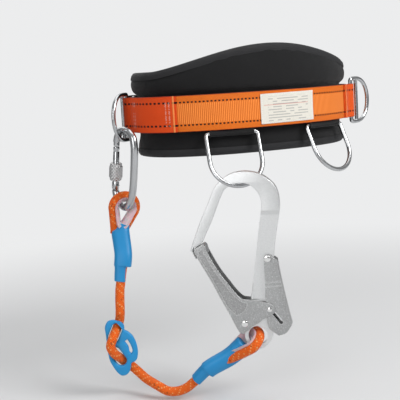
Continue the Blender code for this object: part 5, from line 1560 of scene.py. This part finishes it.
piece("screw_sleeve_v", turned_uv("screw_sleeve_v", prof), "knurl", ["carabiner_screw_sleeve"], where=GATE_M, sharp=30)
piece("gate_pin_v", turned_mesh("gate_pin_v", [(0.0, 0.0056), (0.0008, 0.0056), (0.0011, 0.0053), (0.0011, -0.0053), (0.0008, -0.0056), (0.0, -0.0056)], 32), "bright", ["carabiner_gate_pin"], where=GATE_M)
piece("gate_spring_v", tube("gate_spring_v", coil_points(0.00145, 0.0020, 6, 0.0090, 24), 0.00030, 8), "spring", ["carabiner_gate_spring"], where=GATE_M, sharp=0)

# ---------------------------------------------------------------- rope
def eye_loop(m, flip=1.0):
    """The eye as one strand: up one side of the throat, over the crown and down the other side."""
    pts = [(-5.0, -36.0), (-6.0, -30.5), (-8.6, -22.5)]
    pts += [(1000 * EYE_R * math.cos(math.radians(a)), 1000 * EYE_R * math.sin(math.radians(a))) for a in (208, 188, 165, 140, 115, 90, 65, 40, 15, -8, -28)]
    pts += [(8.6, -22.5), (5.8, -30.5), (3.0, -38.0)]
    return [m @ Vector((flip * x / 1000, y / 1000, 0)) for x, y in pts]


def strand():
    """The whole rope as one line: tail, upper eye, standing part through the adjuster, lower eye, tail."""
    body = rope_line(0.0040)
    up = eye_loop(EYE_UP_M)
    low = list(reversed(eye_loop(EYE_LOW_M, -1.0)))
    a = [p for p in body if (p - EYE_UP_M.translation).length > 0.062 and (p - EYE_LOW_M.translation).length > 0.056]
    return smooth(up + a[::3] + low, 0.0011)


ROPE_LINE = strand()
piece("rope_v", tube("rope_v", ROPE_LINE, ROPE_R, 24), "rope", ["lanyard_rope"], sharp=0)


def thimble_v(name, m, node):
    """A grooved liner that follows the inside of the eye and its throat."""
    path = [(-5.0, -27.5), (-8.6, -22.5)]
    path += [(1000 * EYE_R * math.cos(math.radians(a)), 1000 * EYE_R * math.sin(math.radians(a))) for a in (208, 188, 165, 140, 115, 90, 65, 40, 15, -8, -28)]
    path += [(8.6, -22.5), (5.0, -27.5)]
    line = smooth([(x / 1000, y / 1000, 0) for x, y in path], 0.0012)
    rings = []
    for i, p in enumerate(line):
        t = (line[min(i + 1, len(line) - 1)] - line[max(i - 1, 0)]).normalized()
        inward = t.cross(Vector((0, 0, 1)))
        if inward.dot(-p) < 0 and p.y > -0.018:
            inward = -inward
        end = min(i, len(line) - 1 - i) / 8.0
        r0, r1 = ROPE_R + 0.0002, ROPE_R + 0.0018 + 0.0012 * max(0.0, 1.0 - end / 3.0)
        sec = []
        for k in range(13):
            a = math.radians(-82 + 164 * k / 12)
            flare = 0.0012 * (abs(a) / 1.43) ** 3
            sec.append(p + inward * math.cos(a) * (r1 + flare * 0.3) + Vector((0, 0, 1)) * math.sin(a) * (r1 + flare))
        for k in range(13):
            a = math.radians(82 - 164 * k / 12)
            sec.append(p + inward * math.cos(a) * r0 + Vector((0, 0, 1)) * math.sin(a) * r0)
        rings.append(sec)
    return piece(name, loft_mesh(name, rings), "thimble", [node], where=m, sharp=50)


thimble_v("thimble_up_v", EYE_UP_M, "thimble_upper")
thimble_v("thimble_low_v", EYE_LOW_M, "thimble_lower")


def sleeve_v(name, line, side, sizes, node):
    """Rubber sleeve shrunk over both strands, then over one: an offset oval that steps in. sizes: (distance, width, depth, sideways)."""
    walk = [0.0]
    for a, b in zip(line, line[1:]):
        walk.append(walk[-1] + (b - a).length)
    bm = bmesh.new()
    layer = bm.loops.layers.uv.new("uv")
    rows, ds = [], []
    steps = []
    for (d0, w0, t0, o0), (d1, w1, t1, o1) in zip(sizes, sizes[1:]):
        n = max(1, int(abs(d1 - d0) / 0.0012))
        for k in range(n):
            f = k / n
            steps.append((d0 + (d1 - d0) * f, w0 + (w1 - w0) * f, t0 + (t1 - t0) * f, o0 + (o1 - o0) * f))
    steps.append(sizes[-1])
    count = 40
    for d, w, t, o in steps:
        k = max(i for i in range(len(walk) - 1) if walk[i] <= d)
        f = (d - walk[k]) / (walk[k + 1] - walk[k])
        c = line[k].lerp(line[k + 1], f)
        tan = (line[min(k + 6, len(line) - 1)] - line[max(k - 5, 0)]).normalized()
        x = (side - tan * side.dot(tan)).normalized()
        y = tan.cross(x)
        row = []
        for j in range(count):
            a = TAU * j / count
            ca, sa = math.cos(a), math.sin(a)
            r = (abs(ca) ** 2.7 + abs(sa) ** 2.7) ** (-1 / 2.7)
            wob = 1 + 0.010 * noise.noise(Vector((d * 90, math.cos(a) * 2, math.sin(a) * 2 + 3)))
            row.append(bm.verts.new(c + x * (o + w * ca * r * wob) + y * t * sa * r * wob))
        rows.append(row)
        ds.append(d)
    for i in range(len(rows) - 1):
        for k in range(count):
            m = (k + 1) % count
            f = bm.faces.new((rows[i][k], rows[i][m], rows[i + 1][m], rows[i + 1][k]))
            for loop, uv in zip(f.loops, ((k / count, ds[i]), ((k + 1) / count, ds[i]), ((k + 1) / count, ds[i + 1]), (k / count, ds[i + 1]))):
                loop[layer].uv = uv
    bm.faces.new(rows[0])
    bm.faces.new(rows[-1])
    bmesh.ops.recalc_face_normals(bm, faces=bm.faces)
    mesh = bpy.data.meshes.new(name)
    bm.to_mesh(mesh)
    bm.free()
    return piece(name, mesh, "blue", [node], sharp=42)


FINE = rope_line(0.0012)
LOW_LINE = list(reversed(FINE))
_back = (LOW_LINE[0] - LOW_LINE[6]).normalized()
LOW_LINE = [LOW_LINE[0] + _back * 0.0012 * k for k in range(7, 0, -1)] + LOW_LINE
sleeve_v("sleeve_up_v", FINE, VIEW_R, [(0.0052, 0.0110, 0.0078, 0.0016), (0.0060, 0.0118, 0.0084, 0.0016), (0.0100, 0.0119, 0.0085, 0.0014), (0.0400, 0.0115, 0.0084, 0.0004), (0.0660, 0.0112, 0.0084, 0.0),
                                       (0.0666, 0.0107, 0.0080, -0.0004), (0.0668, 0.0080, 0.0078, -0.0026), (0.0700, 0.0074, 0.0076, -0.0024), (0.0860, 0.0071, 0.0073, -0.0012), (0.0866, 0.0068, 0.0069, -0.0010)],
         "rope_sleeve_upper")
sleeve_v("sleeve_low_v", LOW_LINE, EYE_L_E2.cross(EYE_L_E1), [(0.0010, 0.0128, 0.0080, 0.0), (0.0018, 0.0136, 0.0088, 0.0), (0.0180, 0.0120, 0.0088, 0.0), (0.0600, 0.0110, 0.0086, 0.0),
                                                                         (0.0608, 0.0104, 0.0082, 0.0003), (0.0610, 0.0079, 0.0078, 0.0020), (0.0640, 0.0075, 0.0076, 0.0018), (0.0800, 0.0071, 0.0073, 0.0006),
                                                                         (0.0806, 0.0068, 0.0069, 0.0004)], "rope_sleeve_lower")
adj = soft_plate("adjuster_v", [fair(ADJ_EDGE, 0.0012, 60.0)] + [fair(h, 0.0008, 60.0) for h in ADJ_HOLES], -0.0030, 0.0030, 0.0022)
piece("adjuster_v", adj, "blue_hard", ["rope_adjuster"], where=ADJ, sharp=60)

# ---------------------------------------------------------------- hook
lip = BODY_EDGE.index(min(BODY_EDGE, key=lambda p: p[0] if p[1] > -0.080 else 1.0))
edge = fair(BODY_EDGE, 0.0016, 38.0)
hb = soft_plate("hook_body_v", [edge, circle(EYE_HOLE, 0.0121, 56), circle(RIVET_GATE, 0.0026, 24), circle(RIVET_LEVER, 0.0026, 24)], -BODY_HT, BODY_HT, 0.0007)
tabs = [plate_mesh("t1", [EYE_TAB], 0.0040, 0.0100), plate_mesh("t2", [EYE_TAB], -0.0100, -0.0040)]


def step_cut(sign):
    """Ramp that thins the spine below its forged shoulder."""
    prof = [(-0.0265, 0.0062), (-0.0325, 0.0049), (-0.1400, 0.0049), (-0.1400, 0.0130), (-0.0265, 0.0130)]
    bm = bmesh.new()
    a = [bm.verts.new((0.010, v, w * sign)) for v, w in prof]
    b = [bm.verts.new((0.060, v, w * sign)) for v, w in prof]
    bm.faces.new(a)
    bm.faces.new(b)
    for k in range(len(prof)):
        m = (k + 1) % len(prof)
        bm.faces.new((a[k], a[m], b[m], b[k]))
    bmesh.ops.recalc_face_normals(bm, faces=bm.faces)
    mesh = bpy.data.meshes.new("step")
    bm.to_mesh(mesh)
    bm.free()
    return mesh


tabs += [step_cut(1.0), step_cut(-1.0)]
# The ramp's sloping faces take the darker copy of the forged metal: painted shade.
piece("hook_body_v", sculpt("hook_body_v", hb, cuts=tabs), "body", ["hook_body"], where=HOOK, sharp=30, inlay=("step", lambda f: -0.0330 < f.center.y < -0.0260 and 0.10 < abs(f.normal.y) < 0.5 and abs(f.normal.z) > 0.8))

gate_edge = fair(shifted(GATE_EDGE, RIVET_GATE), 0.0014, 40.0)
inner = [p for p in shifted(GATE_WEB, RIVET_GATE)]
hg = soft_plate("hook_gate_v", [gate_edge, circle((0, 0), 0.0028, 24)], -GATE_OUT, GATE_OUT, 0.0006)
recess = shifted(mm([(-55.0, -76.0), (-50.6, -73.6), (-48.2, -80.2), (-36.8, -101.8), (-24.4, -119.8), (-16.6, -130.2), (-10.6, -136.0), (-5.2, -140.6), (2.0, -143.0), (-2.0, -152.0), (-12.0, -158.0),
                     (-22.6, -146.4), (-30.0, -131.8), (-38.2, -114.4), (-48.2, -95.8), (-54.2, -84.4)]), RIVET_GATE)
groove = fair(recess, 0.0014, 60.0)
hg = sculpt("hook_gate_v", hg, cuts=[plate_mesh("p", [inner], -GATE_IN, GATE_IN), plate_mesh("q", [circle(shifted([PIN_LOCK], RIVET_GATE)[0], 0.0021, 24)], -0.012, 0.012),
                                     plate_mesh("r", [groove], GATE_OUT - 0.0009, 0.014), plate_mesh("r2", [groove], -0.014, -GATE_OUT + 0.0009)])
# The recess floor takes the darker copy of the channel metal: painted shade.
piece("hook_gate_v", hg, "cast", ["hook_gate"], where=HG, sharp=30, inlay=("cast_deep", lambda f: abs(f.normal.z) > 0.9 and abs(abs(f.center.z) - (GATE_OUT - 0.0009)) < 0.0001))

lever_edge = fair(shifted(LEVER_EDGE, RIVET_LEVER), 0.0014, 40.0)
hl = soft_plate("hook_lever_v", [lever_edge, circle((0, 0), 0.0028, 24)], -LEVER_OUT, LEVER_OUT, 0.0005)
crimp = shifted(mm([(20.0, -117.2), (60.0, -113.8), (60.0, -115.2), (20.0, -118.6)]), RIVET_LEVER)
crimp2 = shifted(mm([(20.0, -122.6), (60.0, -119.2), (60.0, -120.4), (20.0, -123.8)]), RIVET_LEVER)
cut_l = [plate_mesh("p", [shifted(LEVER_WEB, RIVET_LEVER)], -LEVER_IN, LEVER_IN), plate_mesh("s", [SLOT], -0.012, 0.012)]
for c in (crimp, crimp2):
    cut_l += [plate_mesh("c", [c], LEVER_OUT - 0.0005, 0.014), plate_mesh("c2", [c], -0.014, -LEVER_OUT + 0.0005)]
hl = sculpt("hook_lever_v", hl, cuts=cut_l)
piece("hook_lever_v", hl, "cast", ["hook_lever"], where=HL, sharp=30)


def rivet_v(name, at, shank, reach, head, head_t, node, mat="bright"):
    prof = [(0.0, reach + head_t)] + [(head * math.sin(a), reach + head_t * math.cos(a) ** 0.8) for a in [math.pi / 2 * k / 8 for k in range(1, 8)]] + [(head, reach), (shank, reach), (shank, -reach), (head, -reach)]
    prof += [(head * math.sin(a), -reach - head_t * math.cos(a) ** 0.8) for a in [math.pi / 2 * k / 8 for k in range(7, 0, -1)]] + [(0.0, -reach - head_t)]
    piece(name, turned_mesh(name, prof, 36), mat, [node], where=HOOK @ Matrix.Translation((*at, 0)))


rivet_v("rivet_gate_v", RIVET_GATE, 0.0024, GATE_OUT + 0.0004, 0.0044, 0.0013, "hook_gate_rivet")
rivet_v("rivet_lever_v", RIVET_LEVER, 0.0024, LEVER_OUT + 0.0026, 0.0044, 0.0011, "hook_lever_rivet")
piece("lock_pin_v", turned_mesh("lock_pin_v", [(0.0, 0.0112), (0.0020, 0.0110), (0.0030, 0.0104), (0.0031, GATE_OUT + 0.0001), (0.0019, GATE_OUT + 0.0001), (0.0019, -GATE_OUT - 0.0001), (0.0031, -GATE_OUT - 0.0001),
                                               (0.0030, -0.0104), (0.0020, -0.0110), (0.0, -0.0112)], 32), "bright", ["hook_lock_pin"], where=HOOK @ Matrix.Translation((*PIN_LOCK, 0)))
for node, at, r, low, pitch, turns, wire in (("hook_gate_spring", RIVET_GATE, 0.0042, 0.0034, 0.0012, 2.0, 0.00045), ("hook_lever_spring", RIVET_LEVER, 0.0040, LEVER_OUT + 0.0007, 0.0010, 1.1, 0.0004)):
    pts = [(r * math.cos(TAU * k / 28), r * math.sin(TAU * k / 28), low + pitch * k / 28) for k in range(int(turns * 28) + 1)]
    piece(node + "_v", tube(node, pts, wire, 8), "spring", [node], where=HOOK @ Matrix.Translation((*at, 0)), sharp=0)

# ---------------------------------------------------------------- floor, light, camera
FLOOR_Z = CAD_BOX[0][2] - 0.004
bm = bmesh.new()
middle = Vector((SHIFT.x, SHIFT.y, FLOOR_Z))
hub = bm.verts.new(middle)
rims = [[bm.verts.new(middle + Vector((far * math.cos(TAU * k / 96), far * math.sin(TAU * k / 96), 0))) for k in range(96)] for far in (1.2, 6.0, 40.0)]
for k in range(96):
    bm.faces.new((hub, rims[0][k], rims[0][(k + 1) % 96]))
    for a, b in zip(rims, rims[1:]):
        bm.faces.new((a[k], b[k], b[(k + 1) % 96], a[(k + 1) % 96]))
bmesh.ops.recalc_face_normals(bm, faces=bm.faces)
mesh = bpy.data.meshes.new("backdrop")
bm.to_mesh(mesh)
bm.free()
FM = Mat("m_floor", (0.64, 0.645, 0.65), 0.9)
nt = FM.m.node_tree
out = next(n for n in nt.nodes if n.type == "OUTPUT_MATERIAL")
shade = out.inputs["Surface"].links[0].from_socket
geo = nt.nodes.new("ShaderNodeNewGeometry")
gap = nt.nodes.new("ShaderNodeVectorMath")
gap.operation = "DISTANCE"
gap.inputs[1].default_value = middle
nt.links.new(geo.outputs["Position"], gap.inputs[0])
fade = nt.nodes.new("ShaderNodeMapRange")
fade.interpolation_type = "SMOOTHSTEP"
fade.inputs["From Min"].default_value = 0.28
fade.inputs["From Max"].default_value = 1.25
nt.links.new(gap.outputs["Value"], fade.inputs["Value"])
rays = nt.nodes.new("ShaderNodeLightPath")
both = nt.nodes.new("ShaderNodeMath")
both.operation = "MULTIPLY"
nt.links.new(fade.outputs["Result"], both.inputs[0])
nt.links.new(rays.outputs["Is Camera Ray"], both.inputs[1])
pale = nt.nodes.new("ShaderNodeEmission")
pale.inputs["Color"].default_value = (0.84, 0.845, 0.85, 1)
pale.inputs["Strength"].default_value = 1.0
mixed = nt.nodes.new("ShaderNodeMixShader")
nt.links.new(both.outputs[0], mixed.inputs[0])
nt.links.new(shade, mixed.inputs[1])
nt.links.new(pale.outputs[0], mixed.inputs[2])
nt.links.new(mixed.outputs[0], out.inputs["Surface"])
mesh.materials.append(FM.m)
backdrop = bpy.data.objects.new("backdrop", mesh)
SCENE.collection.objects.link(backdrop)
backdrop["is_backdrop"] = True

world = bpy.data.worlds.new("studio")
SCENE.world = world
world.use_nodes = True
wt = world.node_tree
bg = wt.nodes["Background"]
tc = wt.nodes.new("ShaderNodeTexCoord")
sp = wt.nodes.new("ShaderNodeSeparateXYZ")
wt.links.new(tc.outputs["Generated"], sp.inputs[0])
ramp = wt.nodes.new("ShaderNodeValToRGB")
ramp.color_ramp.elements[0].position = 0.0
ramp.color_ramp.elements[0].color = (0.10, 0.10, 0.105, 1)
ramp.color_ramp.elements[1].position = 1.0
ramp.color_ramp.elements[1].color = (1.0, 1.0, 1.0, 1)
mid = ramp.color_ramp.elements.new(0.52)
mid.color = (0.40, 0.40, 0.41, 1)
mr = wt.nodes.new("ShaderNodeMapRange")
mr.inputs["From Min"].default_value = -1.0
wt.links.new(sp.outputs[2], mr.inputs["Value"])
wt.links.new(mr.outputs["Result"], ramp.inputs[0])
wt.links.new(ramp.outputs[0], bg.inputs[0])
bg.inputs[1].default_value = 0.50
seen = wt.nodes.new("ShaderNodeBackground")
seen.inputs[0].default_value = (0.84, 0.845, 0.85, 1)
seen.inputs[1].default_value = 1.0
path_node = wt.nodes.new("ShaderNodeLightPath")
blend = wt.nodes.new("ShaderNodeMixShader")
wt.links.new(path_node.outputs["Is Camera Ray"], blend.inputs[0])
wt.links.new(bg.outputs[0], blend.inputs[1])
wt.links.new(seen.outputs[0], blend.inputs[2])
wt.links.new(blend.outputs[0], wt.nodes["World Output"].inputs[0])


def area(name, loc, aim, size, power, colour=(1, 1, 1)):
    light = bpy.data.lights.new(name, "AREA")
    light.shape = "RECTANGLE"
    light.size, light.size_y = size
    light.energy = power
    light.color = colour
    obj = bpy.data.objects.new(name, light)
    obj.location = Vector(loc) + SHIFT
    obj.rotation_euler = (Vector(aim) - Vector(loc)).to_track_quat("-Z", "Y").to_euler()
    SCENE.collection.objects.link(obj)
    return obj


area("key", (0.75, -1.35, 1.05), (0, 0, -0.08), (0.9, 0.9), 27)
area("fill", (-1.5, -1.1, 0.45), (-0.05, 0, -0.12), (1.0, 1.3), 10)
area("top", (0.1, 0.2, 1.7), (0, 0, 0), (1.4, 1.4), 8)
area("back", (0.2, 1.5, 0.9), (0, 0, -0.1), (1.8, 1.0), 6)

P, R = math.radians(7.75), math.radians(3.28)
d, r = Vector((0.4226, 0.9063, 0.0)), Vector((0.9063, -0.4226, 0.0))
fwd = d * math.cos(P) - Z * math.sin(P)
upv = d * math.sin(P) + Z * math.cos(P)
cx = r * math.cos(R) - upv * math.sin(R)
cy = r * math.sin(R) + upv * math.cos(R)
cam_data = bpy.data.cameras.new("camera")
cam_data.sensor_width = 36.0
cam_data.lens = 955.0 / 400.0 * 36.0
cam_data.clip_start = 0.01
cam = bpy.data.objects.new("camera", cam_data)
m = Matrix((cx, cy, -fwd)).transposed().to_4x4()
m.translation = Vector((-0.6063, -1.1516, 0.053)) + SHIFT
cam.matrix_world = m
SCENE.collection.objects.link(cam)
SCENE.camera = cam
SCENE.view_settings.view_transform = "Standard"

lo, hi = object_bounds()
